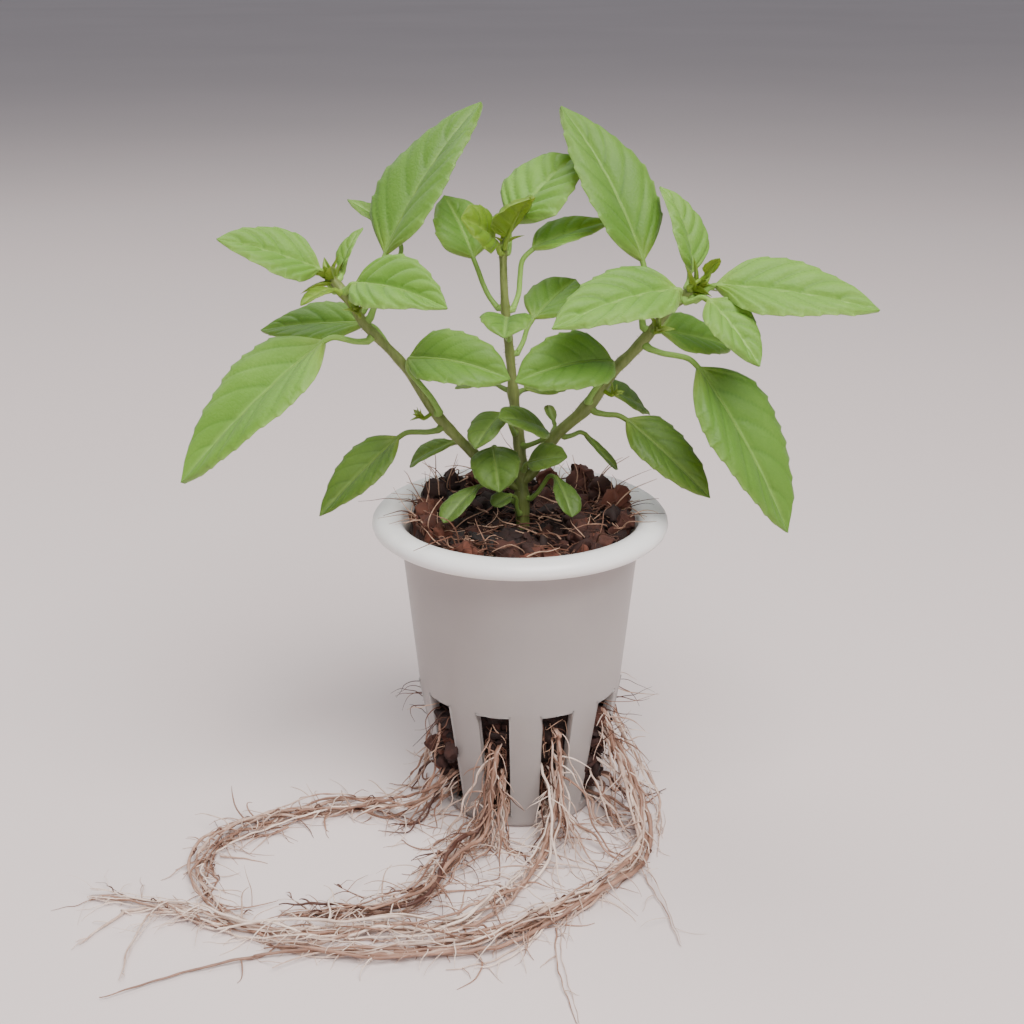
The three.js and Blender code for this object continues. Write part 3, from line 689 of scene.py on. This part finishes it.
def make_cup():
    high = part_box("net_cup")[1]
    height, lip = high.z, high.x
    per_post, per_slot = 7, 7
    columns = len(SLOT_TURNS) * (per_post + per_slot)

    def half_slot(z):
        """Half the angle that a slot takes up at a height."""
        z = min(max(z, SLOT_FOOT), SLOT_TOP)
        width = 5.2 * MM + 1.6 * MM * (z - SLOT_FOOT) / (SLOT_TOP - SLOT_FOOT)
        return 0.5 * width / (cup_wall(z) - 0.5 * WALL)

    def angles(z):
        out = []
        gap = half_slot(z)
        for centre in SLOT_TURNS:
            out += list(np.linspace(centre - gap, centre + gap, per_slot, endpoint=False))
            out += list(np.linspace(centre + gap, centre + math.radians(36) - gap, per_post, endpoint=False))
        return out

    band = list(np.linspace(SLOT_FOOT, SLOT_TOP, 11))
    body = SLOT_TOP + 1.5 * MM, BODY_TOP - 0.8 * MM
    outer = [(cup_wall(z), z) for z in [0.6 * MM, 1.6 * MM, *band, *np.linspace(*body, 14)]]
    # the rolled lip: radius, and height over the body, in a lip 31 wide and 5 tall
    roll = [(25.25, 0.0), (25.7, 0.6), (26.6, 0.95), (27.8, 0.9), (29.0, 0.95), (30.0, 1.3), (30.7, 1.9),
            (31.0, 2.7), (30.85, 3.5), (30.3, 4.2), (29.4, 4.7), (28.3, 4.97), (27.2, 4.9), (26.2, 4.55),
            (25.4, 4.0), (24.85, 3.3), (24.6, 2.4), (24.4, 1.3)]
    outer += [(r * lip / 31, up * (height - BODY_TOP) / 5 + BODY_TOP) for r, up in roll]
    inner = [(cup_wall(z) - WALL, z) for z in [*np.linspace(*body[::-1], 8), *band[::-1]]]
    floor_edge = cup_wall(2.0 * MM) - WALL
    inner += [(floor_edge, 2.2 * MM), (floor_edge - 0.6 * MM, 1.7 * MM), (6 * MM, 1.6 * MM)]
    rows = [(BASE_RADIUS - 3 * MM, 0.0), (BASE_RADIUS - 1.2 * MM, 0.0), (BASE_RADIUS - 0.5 * MM, 0.12 * MM)]
    rows += outer + inner
    index = {}
    verts = []
    for i, (r, z) in enumerate(rows):
        for j, turn in enumerate(angles(z)):
            index[i, j] = len(verts)
            verts.append((r * math.cos(turn), r * math.sin(turn), z))
    faces = []
    in_band = lambda z: SLOT_FOOT - 1e-9 <= z <= SLOT_TOP + 1e-9
    open_rows = [i for i in range(len(rows) - 1) if in_band(rows[i][1]) and in_band(rows[i + 1][1])]
    in_slot = lambda j: (j % (per_slot + per_post)) < per_slot
    for i in range(len(rows) - 1):
        for j in range(columns):
            if i in open_rows and in_slot(j):
                continue
            k = (j + 1) % columns
            faces.append((index[i, j], index[i, k], index[i + 1, k], index[i + 1, j]))
    outside = [i for i in open_rows if i < len(rows) // 2]
    inside = [i for i in open_rows if i >= len(rows) // 2]
    o_rows = outside + [outside[-1] + 1]
    i_rows = (inside + [inside[-1] + 1])[::-1]
    for k in range(len(SLOT_TURNS)):
        left = k * (per_slot + per_post)
        right = left + per_slot
        for (o, i), (o_next, i_next) in zip(zip(o_rows, i_rows), zip(o_rows[1:], i_rows[1:])):
            faces.append((index[o, left], index[o_next, left], index[i_next, left], index[i, left]))
            faces.append((index[o, right], index[i, right], index[i_next, right], index[o_next, right]))
        for j in range(left, right):
            for o, i, step in ((o_rows[0], i_rows[0], 1), (o_rows[-1], i_rows[-1], -1)):
                faces.append((index[o, j], index[i, j], index[i, j + 1], index[o, j + 1])[::step])
    # the base, with its centre
    for row, z, step in ((0, 0.0, 1), (len(rows) - 1, 1.6 * MM, -1)):
        verts.append((0, 0, z))
        for j in range(columns):
            faces.append((len(verts) - 1, index[row, (j + 1) % columns], index[row, j])[::step])
    build = Build("lip")
    # the lip share: the material paints the lip near-white and the body below it a darker grey as painted shade
    lit_lip_share = [min(1, max(0, (z - BODY_TOP + 0.6 * MM) / MM)) for _, _, z in verts]
    build.add(verts, faces, lip=lit_lip_share)
    cup = build.make("cup_moulding", CUP_PLASTIC)
    bevel = cup.modifiers.new("edges", "BEVEL")
    bevel.width = 0.28 * MM
    bevel.segments = 2
    bevel.limit_method = "ANGLE"
    bevel.angle_limit = math.radians(50)
    cup.modifiers.new("shading", "WEIGHTED_NORMAL")
    keep(cup, "cup_plastic", "net_cup")


make_cup()


# ---------- coir ----------

def hash_noise(chance, count):
    """A smooth function of position: a sum of waves in random directions."""
    waves = [(unit([chance.gauss(0, 1) for _ in range(3)]), chance.uniform(0.6, 1.0), chance.uniform(0, 6.28))
             for _ in range(count)]

    def field(points, size):
        points = np.asarray(points, float)
        total = sum(w * np.sin(points @ d * (2 * math.pi / size) * (1 + 0.6 * i / count) + p)
                    for i, (d, w, p) in enumerate(waves))
        return total / math.sqrt(count)
    return field


def wander(chance, count, cycles):
    """count values of a smooth random curve with about this many swings."""
    s = np.linspace(0, 1, count)
    return sum(chance.uniform(0.5, 1.0) * np.sin(2 * math.pi * cycles * chance.uniform(0.5, 1.5) * s
                                                 + chance.uniform(0, 6.28)) for _ in range(3)) / 1.6


PLUG = frame["nodes"]["coir_plug"].data
PLUG_TREE = BVHTree.FromPolygons([v.co.copy() for v in PLUG.vertices],
                                 [tuple(f.vertices) for f in PLUG.polygons])


def coir_top(x, y):
    """Height of the coir's top, read off the CAD plug."""
    shrink = min(1.0, 21.5 * MM / max(math.hypot(x, y), 1e-9))
    place = PLUG_TREE.ray_cast(Vector((x * shrink, y * shrink, 0.2)), Vector((0, 0, -1)))[0]
    return place.z if place and place.z > 50 * MM else 60 * MM


def make_coir():
    chance = random.Random(11)
    field = hash_noise(chance, 14)
    radius = 23.2 * MM
    rings, sides = 60, 180
    spokes = [toward(2 * math.pi * j / sides) for j in range(sides)]
    tops = np.array([radius * i / rings * spoke for i in range(1, rings + 1) for spoke in spokes])
    tops[:, 2] = [coir_top(x, y) for x, y, _ in tops]
    rough = field(tops, 8 * MM) * 0.9 - np.abs(field(tops, 5 * MM)) * 1.4 + field(tops, 1.6 * MM) * 0.35
    tops[:, 2] += rough * MM
    tops[-sides:, 2] -= 2.0 * MM
    verts = np.vstack([(0.0, 0.0, coir_top(0.004, 0.0) - 1 * MM), tops])
    at = lambda i, j: 1 + (i - 1) * sides + j % sides
    band = lambda at, i: [(at(i, j), at(i + 1, j), at(i + 1, j + 1), at(i, j + 1)) for j in range(sides)]
    faces = [(0, at(1, j), at(1, j + 1)) for j in range(sides)]
    for i in range(1, rings):
        faces += band(at, i)
    # the side, lumpy where it shows in the slots
    levels = np.linspace(56 * MM, 2.4 * MM, 80)
    side = np.array([(cup_wall(z) - 2.6 * MM) * spoke + [0, 0, z] for z in levels for spoke in spokes])
    bulge = (np.abs(field(side, 5 * MM)) * 1.3 + field(side, 1.6 * MM) * 0.4) * MM - 0.5 * MM
    side += unit(side * [1, 1, 0]) * np.minimum(bulge, 1.0 * MM)[:, None]
    first = len(verts)
    verts = np.vstack([verts, side, [[0, 0, 2.4 * MM]]])
    low_at = lambda i, j: first + i * sides + j % sides
    faces += [(at(rings, j), low_at(0, j), low_at(0, j + 1), at(rings, j + 1)) for j in range(sides)]
    for i in range(len(levels) - 1):
        faces += band(low_at, i)
    bottom, end = len(verts) - 1, len(levels) - 1
    faces += [(bottom, low_at(end, j + 1), low_at(end, j)) for j in range(sides)]
    build = Build()
    build.add(verts, faces)
    keep(build.make("coir_pith", COIR), "coir", "coir_plug")


make_coir()


def add_chip(build, centre, size, chance, field, shade=0.4, blocky=0.62):
    """A rough broken lump of husk: a rounded block with a torn surface."""
    rows, columns = 15, 22
    lat = np.linspace(-math.pi / 2, math.pi / 2, rows)[1:-1]
    lon = np.linspace(0, 2 * math.pi, columns, endpoint=False)
    power = lambda v: np.sign(v) * np.abs(v) ** blocky
    x = power(np.cos(lat))[:, None] * power(np.cos(lon))[None] + 0 * lon[None]
    y = power(np.cos(lat))[:, None] * power(np.sin(lon))[None]
    z = power(np.sin(lat))[:, None] + 0 * lon[None]
    body = np.stack([x, y, z], 2).reshape(-1, 3)
    body = np.vstack([body, (0, 0, -1), (0, 0, 1)]) * np.asarray(size)[None] / 2
    shift = np.array([chance.uniform(-1, 1) for _ in range(3)])
    smallest = min(size)
    for wave, depth in ((4.0, 0.22), (1.7, 0.08), (0.8, 0.03)):
        push = np.stack([field(body + shift * k, wave * MM) for k in (1, 2, 3)], 1)
        body = body + push * depth * smallest
    turn = np.array(Quaternion([chance.gauss(0, 1) for _ in range(4)]).normalized().to_matrix())
    body = body @ turn.T + np.asarray(centre)
    n = rows - 2
    at = lambda i, j: i * columns + j % columns
    faces = [(at(i, j), at(i, j + 1), at(i + 1, j + 1), at(i + 1, j))
             for i in range(n - 1) for j in range(columns)]
    for j in range(columns):
        faces += [(n * columns, at(0, j + 1), at(0, j)), (n * columns + 1, at(n - 1, j), at(n - 1, j + 1))]
    build.add(body, faces, shade=min(1.0, max(0.0, chance.gauss(shade, 0.2))))


def make_chips():
    chance = random.Random(31)
    field = hash_noise(chance, 10)
    build = Build("shade")
    for _ in range(170):
        turn, r = chance.uniform(0, 2 * math.pi), 21.5 * MM * math.sqrt(chance.uniform(0.02, 1))
        x, y, _ = r * toward(turn)
        if math.hypot(x - 0.8 * MM, y) < 3.2 * MM:
            continue
        long = chance.uniform(2.2, 6.5) * MM
        size = (long, long * chance.uniform(0.45, 0.9), long * chance.uniform(0.35, 0.7))
        z = coir_top(x, y) + chance.uniform(-0.8, 0.7) * MM
        # each chip has a random tone of its own; on top of that the chips get lighter from the middle of the
        # mouth out to the rim, as painted light on the lit rim
        add_chip(build, (x, y, z), size, chance, field, 0.15 + 0.55 * (r / (21.5 * MM)) ** 2)
    # taller blocks against the left, right and back of the mouth, painted a lighter red-brown than the rest as
    # painted light for the lit chunks there: direction, radius, rise, length
    blocks = ((160, 19.6, 1.6, 7.5), (178, 20.0, 1.4, 6.5), (196, 20.2, 0.8, 6.0), (138, 19.5, 1.8, 6.5),
              (118, 20.0, 1.2, 6.0), (95, 19.8, 1.4, 7.0), (72, 20.0, 1.8, 6.0), (48, 19.8, 2.0, 7.0),
              (28, 20.0, 1.8, 7.0), (8, 20.2, 1.2, 6.5), (-12, 20.2, 0.6, 6.5), (-36, 20.0, 0.2, 6.0),
              (212, 20.0, 0.4, 6.0), (236, 19.8, 0.0, 5.5))
    for turn, r, up, long in blocks:
        x, y, _ = r * MM * toward(math.radians(turn))
        size = (long * MM, long * 0.62 * MM, long * 0.7 * MM)
        add_chip(build, (x, y, coir_top(x, y) + up * MM), size, chance, field, 0.72, 0.65)
    # in the slots
    for turn in SLOT_TURNS:
        for _ in range(16):
            z = chance.uniform(5, 26) * MM
            at = turn + chance.uniform(-0.13, 0.13)
            r = cup_wall(z) - chance.uniform(1.9, 3.2) * MM
            long = chance.uniform(1.6, 3.2) * MM
            add_chip(build, r * toward(at) + [0, 0, z], (long, long * 0.7, long * 0.8), chance, field)
    # the clumps that have pushed out through two of the slots
    for turn, far, low, high, spread in ((-141.2, 22.6, 10.5, 24.5, 3.4), (-33.2, 20.2, 8.5, 24.5, 2.0)):
        out, side = toward(math.radians(turn)), toward(math.radians(turn + 90))
        for _ in range(46):
            z = chance.uniform(low, high)
            t = (z - low) / (high - low)
            wall = cup_wall(z * MM) / MM
            reach = wall + (far - wall) * math.sin(math.pi * min(1, 0.12 + t)) ** 0.7
            r = chance.uniform(wall - 2.4, max(reach, wall - 1.2))
            sideways = chance.uniform(-1, 1) * (2.0 if r < wall + 0.4 else spread)
            long = chance.uniform(1.6, 3.6)
            add_chip(build, (out * r + side * sideways) * MM + [0, 0, z * MM],
                     (long * MM, long * 0.75 * MM, long * 0.7 * MM), chance, field)
    keep(build.make("coir_chips", CHIP), "coir")


make_chips()


def add_strand(build, points, thick, count, shade):
    """A thin tapering strand through points."""
    radii = thick * np.interp(np.linspace(0, 1, count), [0, 0.5, 1], [1.0, 0.85, 0.3])
    build.tube(smooth_path(points, count), radii, 5, shade=shade)


def sway(chance, sideways, low, high):
    """A random change of direction."""
    return [chance.uniform(-sideways, sideways), chance.uniform(-sideways, sideways), chance.uniform(low, high)]


def shade_of(chance, middle=0.5, spread=0.2):
    return min(1.0, max(0.0, chance.gauss(middle, spread)))


def make_coir_fibres():
    chance = random.Random(23)
    build = Build("shade")
    # lying on top
    for _ in range(330):
        turn, r = chance.uniform(0, 2 * math.pi), 22.0 * MM * math.sqrt(chance.uniform(0.02, 1))
        px, py, _ = r * toward(turn)
        pz = coir_top(px, py) + chance.uniform(0.3, 2.4) * MM
        way, long = chance.uniform(0, 2 * math.pi), chance.uniform(4, 12) * MM
        tilt = chance.uniform(-0.2, 0.35)
        points = []
        for _ in range(5):
            points.append((px, py, pz))
            way += chance.uniform(-0.6, 0.6)
            px, py = px + long / 4 * math.cos(way), py + long / 4 * math.sin(way)
            pz += long / 4 * tilt + chance.uniform(-0.5, 0.5) * MM
            if math.hypot(px, py) > 22.8 * MM:
                pull = 22.8 * MM / math.hypot(px, py)
                px, py = px * pull, py * pull
                pz = max(pz, 63 * MM)
        thick = chance.choice((0.08, 0.11, 0.15, 0.2)) * MM
        add_strand(build, points, thick, 12, shade_of(chance, 0.8 if chance.random() < 0.22 else 0.28, 0.15))
    # standing up and out over the lip, most of them at the left and right
    for _ in range(96):
        turn = math.radians(chance.choice((chance.gauss(180, 28), chance.gauss(2, 26),
                                           chance.uniform(20, 160), chance.uniform(0, 360))))
        r = 20.5 * MM * math.sqrt(chance.uniform(0.6, 1))
        x, y, _ = r * toward(turn)
        long = chance.uniform(6, 16) * MM
        out = chance.uniform(-0.1, 1.3)
        lean = unit([math.cos(turn) * out + chance.uniform(-0.4, 0.4),
                     math.sin(turn) * out + chance.uniform(-0.4, 0.4), 1])
        points = [np.array([x, y, coir_top(x, y) - 1 * MM])]
        for _ in range(5):
            lean = unit(lean + sway(chance, 0.4, -0.45, 0.1))
            points.append(points[-1] + lean * long / 5)
            if math.hypot(*points[-1][:2]) > 22.0 * MM:  # over the lip
                points[-1][2] = max(points[-1][2], LIP_TOP)
        add_strand(build, points, chance.uniform(0.11, 0.19) * MM, 14, shade_of(chance, 0.66, 0.22))
    # in and out of the slots
    for _ in range(330):
        slot = chance.choice(SLOT_TURNS)
        turn, height = slot + chance.uniform(-0.14, 0.14), chance.uniform(5, 27) * MM
        r = cup_wall(height) - chance.uniform(1.2, 2.2) * MM
        points, long, way = [], chance.uniform(3, 8) * MM, chance.uniform(-3.1, 0.0)
        for _ in range(5):
            points.append(r * toward(turn) + [0, 0, max(height, 1 * MM)])
            turn = min(max(turn + math.cos(way) * long / 4 / r, slot - 0.12), slot + 0.12)
            height = min(height + math.sin(way) * long / 4, 27 * MM)
            r += chance.uniform(-0.3, 0.8) * MM
            way += chance.uniform(-0.6, 0.6)
        add_strand(build, points, chance.uniform(0.07, 0.15) * MM, 10, shade_of(chance, 0.5, 0.25))
    # stray ones that stick out sideways from the left and right slots
    for turn, low, high, count in ((-141.2, 12, 28, 12), (-177.2, 16, 28, 7), (-33.2, 12, 28, 10),
                                   (2.8, 16, 28, 7)):
        for _ in range(count):
            at = math.radians(turn) + chance.uniform(-0.13, 0.13)
            z = chance.uniform(low, high) * MM
            r = cup_wall(z) - 1.5 * MM
            lean = unit(toward(at) + sway(chance, 0.5, -0.5, 0.7))
            long = chance.uniform(7, 14) * MM
            points = [r * toward(at) + [0, 0, z], (r + 1.8 * MM) * toward(at) + [0, 0, z]]
            for _ in range(4):
                lean = unit(lean + sway(chance, 0.5, -0.5, 0.3))
                points.append(points[-1] + lean * long / 5)
            add_strand(build, points, chance.uniform(0.08, 0.14) * MM, 14, shade_of(chance, 0.45, 0.22))
    keep(build.make("coir_fibres", FIBRE), "coir")


make_coir_fibres()


# ---------- roots ----------

def add_rootlets(build, roots, count, reach, chance, low=0.15, high=0.8):
    """Fine side roots that leave the bigger ones at a slant."""
    for _ in range(count):
        points, radius, shade = chance.choice(roots)
        i = chance.randrange(2, len(points) - 2)
        forward = unit(points[i + 1] - points[i - 1])
        aside = unit(np.cross(forward, [chance.gauss(0, 0.35), chance.gauss(0, 0.35), 1]))
        aside = aside * chance.choice((-1, 1))
        way = unit(forward * chance.uniform(0.2, 1.2) + aside + [0, 0, chance.uniform(low, high)])
        long = reach * chance.uniform(0.2, 1.0) ** 1.4
        trail = [points[i]]
        for _ in range(5):
            way = unit(way + [chance.uniform(-0.35, 0.35), chance.uniform(-0.35, 0.35), -0.22])
            step = trail[-1] + way * long / 5
            step[2] = max(step[2], 0.15 * MM)
            trail.append(step)
        thick = min(0.8 * radius[i], chance.choice((0.10, 0.13, 0.16, 0.2)) * MM)
        add_strand(build, trail, thick, 12, shade_of(chance, shade + 0.12, 0.15))


def add_spurs(build, roots, count, chance):
    """Short brown curled scales along the old roots."""
    for _ in range(count):
        points, radius, _ = chance.choice(roots)
        i = chance.randrange(2, len(points) - 2)
        forward = unit(points[i + 1] - points[i - 1])
        aside = unit(np.cross(forward, [0, 0, 1.0]) * chance.uniform(-1, 1) + [0, 0, chance.uniform(0.2, 1)])
        foot = points[i] + aside * radius[i] * 0.5
        long = chance.uniform(1.6, 4.2) * MM
        curl = unit(forward * chance.uniform(0.3, 1.4) - aside * chance.uniform(0, 0.9))
        bend = foot + (forward + aside) * long / 4
        thick = chance.uniform(0.11, 0.22) * MM
        build.tube(smooth_path([foot, bend, bend + curl * long / 2], 7),
                   thick * np.array([0.8, 1, 1, 0.9, 0.7, 0.4, 0.15]), 6, shade=shade_of(chance, 0.14, 0.1))


def make_root_bundle(node, strands, thickness, rootlets, reach, middle, spread=1.0, spurs=0):
    """A loose bundle of roots that follows one line, with fine rootlets wandering off it."""
    chance = random.Random(node)
    line, radii = line_of(node)
    if line[:3, 2].mean() < line[-3:, 2].mean():
        line, radii = line[::-1], radii[::-1]
    start = line[0]
    from_slot = "tail" not in node or "arch" in node
    if from_slot:
        line = np.vstack([[start[0] * 0.85, start[1] * 0.85, start[2] + 1.5 * MM], line])
        radii = np.r_[radii[0], radii]
    else:  # its roots come out of the nearest bundle
        trunks = [smooth_path(line_of(name)[0], 90) for name in BUNDLES]
        trunk = min(trunks, key=lambda p: np.linalg.norm(p - start, axis=1).min())
        trunk = trunk if trunk[0][2] > trunk[-1][2] else trunk[::-1]
        i = int(np.linalg.norm(trunk - start, axis=1).argmin())
        trunk = trunk[max(10, i - 26):i - 3:5]
        line = np.vstack([trunk, line])
        radii = np.r_[np.full(len(trunk), radii[0] * 1.8), radii]
    length = np.linalg.norm(np.diff(line, axis=0), axis=1).sum()
    step = 0.75 * MM
    count = max(30, int(length / step))
    path = smooth_path(line, count)
    s = np.linspace(0, 1, count)
    wide = np.interp(s, np.linspace(0, 1, len(radii)), radii) * spread
    wide = wide * np.interp(s, [0, 0.05, 0.35, 1], [0.75, 0.8, 1.15, 1.25])
    ahead = unit(np.gradient(path, axis=0))
    side = unit(np.cross(ahead, [0, 0, 1.0]) + 1e-9)
    over = np.cross(side, ahead)
    build = Build("shade")
    roots = []
    swings = max(1.2, length / (30 * MM))
    kinks = length / (6.5 * MM)
    for _ in range(strands):
        across = (chance.uniform(-1, 1) + 0.55 * wander(chance, count, swings)) * wide
        above = (chance.uniform(-0.7, 0.7) + 0.4 * wander(chance, count, swings)) * wide
        across = across + wander(chance, count, kinks) * 0.16 * MM
        above = above + wander(chance, count, kinks) * 0.12 * MM
        points = path + side * across[:, None] + over * above[:, None]
        begin = int(count * (chance.uniform(0, 0.14) if chance.random() < 0.8 else chance.uniform(0.15, 0.5)))
        end = count if chance.random() < 0.45 else int(count * chance.uniform(0.5, 1.0))
        if end - begin < 12:
            continue
        points = points[begin:end]
        if begin < 0.15 * count and from_slot:
            z = points[0][2] + chance.uniform(0.3, 2.0) * MM
            inner = unit(points[0] * [1, 1, 0]) * (cup_wall(z) - 2.0 * MM) + [0, 0, z]
            edge = inner * [1.12, 1.12, 0] + [0, 0, z - 0.3 * MM]
            points = np.vstack([smooth_path([inner, edge, points[3], points[6]], 12)[:-1], points[6:]])
        if end < count and "tail" not in node:  # strays out of the bundle
            stray = unit(ahead[end - 1] + side[end - 1] * chance.uniform(-0.9, 0.9))
            extra = int(chance.uniform(6, 20))
            bend = side[end - 1] * chance.uniform(-0.05, 0.05)
            steps = [points[-1]]
            for _ in range(extra):
                stray = unit(stray * [1, 1, 0.4] + bend)
                steps.append(steps[-1] + stray * step)
            points = np.vstack([points, steps[1:]])
        size = thickness * chance.choice((0.45, 0.55, 0.7, 0.8, 1.0, 1.25))
        radius = size * np.interp(np.linspace(0, 1, len(points)), [0, 0.15, 0.6, 0.9, 1],
                                  [1, 1, 0.85, 0.55, 0.25])
        radius = radius * (1 + 0.12 * wander(chance, len(points), kinks * 1.5))
        points[:, 2] = np.maximum(points[:, 2], radius + 0.05 * MM)
        shade = shade_of(chance, middle, 0.22)
        build.tube(points, radius, 7, shade=np.clip(shade + 0.10 * wander(chance, len(points), 5), 0, 1))
        roots.append((points, radius, shade))
    add_rootlets(build, roots, rootlets, reach, chance)
    add_spurs(build, roots, spurs, chance)
    keep(build.make(f"roots_{node[5:]}", ROOT), SLOT_OF[node], node)


#                    strands, thickness, rootlets, reach, shade, spread, spurs
BUNDLES = {
    # the left loop's low tone of 0.46 is partly the roots' own brown and partly painted shade, for the shade it
    # lies in
    "root_left_loop": (12, 0.42 * MM, 150, 11 * MM, 0.46, 1.45, 45),
    "root_front_left": (14, 0.40 * MM, 170, 11 * MM, 0.42, 1.2, 70),
    "root_front_right": (12, 0.40 * MM, 190, 12 * MM, 0.68, 1.35, 20),
    "root_right": (12, 0.42 * MM, 180, 12 * MM, 0.60, 1.25, 35),
}
for node in NODES:
    if node in BUNDLES:
        make_root_bundle(node, *BUNDLES[node])
    elif node == "root_tail_arch":
        make_root_bundle(node, 4, 0.30 * MM, 16, 9 * MM, 0.72, 1.6)
    elif node.startswith("root_tail"):
        make_root_bundle(node, 2, 0.27 * MM, 7, 8 * MM, 0.62, 1.2)


def make_slot_roots():
    """Thin pale roots that arch out of the slots and splay over the floor round the cup's foot."""
    chance = random.Random(77)
    build = Build("shade")
    fans = ((-105.2, 26, 17), (-69.2, 28, 19), (-33.2, 14, 15), (-141.2, 10, 12), (2.8, 8, 8), (-177.2, 7, 7),
            (38.8, 6, 5), (74.8, 6, 5), (110.8, 6, 5), (146.8, 6, 5))
    roots = []
    for turn, count, reach in fans:
        for _ in range(count):
            at = math.radians(turn) + chance.uniform(-0.12, 0.12)
            z = (4 + 19 * chance.random() ** 1.5) * MM
            r = cup_wall(z)
            out = toward(at)
            way = at + chance.gauss(0, 0.75)
            aim = unit(toward(way) + 0.5 * out)
            far = chance.uniform(0.3, 1.0) * reach * MM
            foot = out * (r - 1.8 * MM) + [0, 0, z + 0.6 * MM]
            lip = out * (r + 0.4 * MM) + [0, 0, z]
            mid = lip + aim * far * chance.uniform(0.3, 0.6) + [0, 0, -chance.uniform(0.1, 0.6) * z]
            low = np.array([*(lip + aim * far)[:2], chance.uniform(0.2, 0.5) * MM])
            points = [foot, lip, mid, low]
            if chance.random() < 0.7:
                way += chance.uniform(-1.1, 1.1)
                points.append(low + toward(way) * chance.uniform(3, 10) * MM)
            if chance.random() < 0.15:  # curls back up
                points[-1] = points[-1] + [0, 0, chance.uniform(1, 3) * MM]
            path = smooth_path(points, 40)
            path[:, 0] += wander(chance, 40, 3) * 0.45 * MM
            path[:, 1] += wander(chance, 40, 3) * 0.45 * MM
            thick = chance.choice((0.12, 0.15, 0.19, 0.24, 0.3, 0.38)) * MM
            radius = thick * np.interp(np.linspace(0, 1, 40), [0, 0.6, 1], [1, 0.85, 0.25])
            path[:, 2] = np.maximum(path[:, 2], radius + 0.05 * MM)
            shade = shade_of(chance, 0.66 if turn in (-105.2, -69.2) else 0.5, 0.28)
            build.tube(path, radius, 6, shade=shade)
            roots.append((path, radius, shade))
    add_rootlets(build, roots, 260, 7 * MM, chance, -0.4, 0.5)
    keep(build.make("roots_from_slots", ROOT), "root_fine")


make_slot_roots()


def make_floor_rootlets():
    """Loose fine roots lying within and just outside the loops."""
    chance = random.Random(91)
    build = Build("shade")
    lines = [smooth_path(line_of(node)[0], 60) for node in BUNDLES]
    for _ in range(150):
        path = chance.choice(lines)
        i = chance.randrange(18, 58)
        ahead = unit(path[i + 1] - path[i - 1])
        way = math.atan2(ahead[1], ahead[0]) + chance.gauss(0, 0.7)
        x, y = path[i][0] + chance.gauss(0, 1.5) * MM, path[i][1] + chance.gauss(0, 1.5) * MM
        long, bend = chance.uniform(5, 16) * MM, chance.uniform(-0.25, 0.25)
        height = chance.uniform(0.2, 2.0) * MM
        trail = []
        for k in range(7):
            trail.append((x, y, max(0.15 * MM, height * (1 - k / 5))))
            way += bend + chance.uniform(-0.25, 0.25)
            x, y = x + long / 6 * math.cos(way), y + long / 6 * math.sin(way)
        add_strand(build, trail, chance.choice((0.08, 0.11, 0.15, 0.2)) * MM, 18, shade_of(chance, 0.62, 0.2))
    keep(build.make("roots_loose", ROOT), "root_fine")


make_floor_rootlets()


# ---------- floor, lights and camera ----------

def floor_material():
    m = Nodes("pale_floor")
    cloud = m.noise(1.6, 3.0, 0.5)
    return m.finish(m.ramp(cloud, (0.3, (0.690, 0.595, 0.580)), (0.7, (0.735, 0.635, 0.620))), 0.62,
                    Specular_IOR_Level=0.25)


build = Build()
build.add([(-9, -4, 0), (9, -4, 0), (9, 14, 0), (-9, 14, 0)], [(0, 1, 2, 3)])
floor = build.make("floor", floor_material(), smooth=False)

world = bpy.data.worlds.new("soft_room")
bpy.context.scene.world = world
world.use_nodes = True
sky = world.node_tree.nodes["Background"]
sky.inputs["Color"].default_value = (0.86, 0.90, 1.0, 1)
sky.inputs["Strength"].default_value = 0.33


def lamp(name, place, aim, size, power, colour):
    data = bpy.data.lights.new(name, "AREA")
    data.shape = "DISK"
    data.size = size
    data.energy = power
    data.color = colour
    obj = bpy.data.objects.new(name, data)
    obj.location = place
    obj.rotation_euler = (Vector(aim) - Vector(place)).to_track_quat("-Z", "Y").to_euler()
    bpy.context.scene.collection.objects.link(obj)


lamp("window", (-0.45, 0.40, 0.90), (0, 0, 0.05), 0.7, 5.0, (1.0, 0.98, 0.95))
lamp("ceiling", (0.22, -0.50, 0.93), (0, -0.10, 0.0), 0.8, 20.0, (1.0, 0.975, 0.95))
lamp("fill", (0.1, -1.0, 0.45), (0, 0, 0.07), 0.6, 1.4, (1.0, 1.0, 1.0))

camera_data = bpy.data.cameras.new("camera")
camera_data.lens = 52.4
camera_data.sensor_width = 36
camera_data.clip_start = 0.01
camera = bpy.data.objects.new("camera", camera_data)
camera.location = (-1.7 * MM, -293 * MM, 175.6 * MM)
camera.rotation_euler = (math.radians(69.5), 0, 0)
bpy.context.scene.collection.objects.link(camera)
bpy.context.scene.camera = camera

bpy.context.view_layer.update()
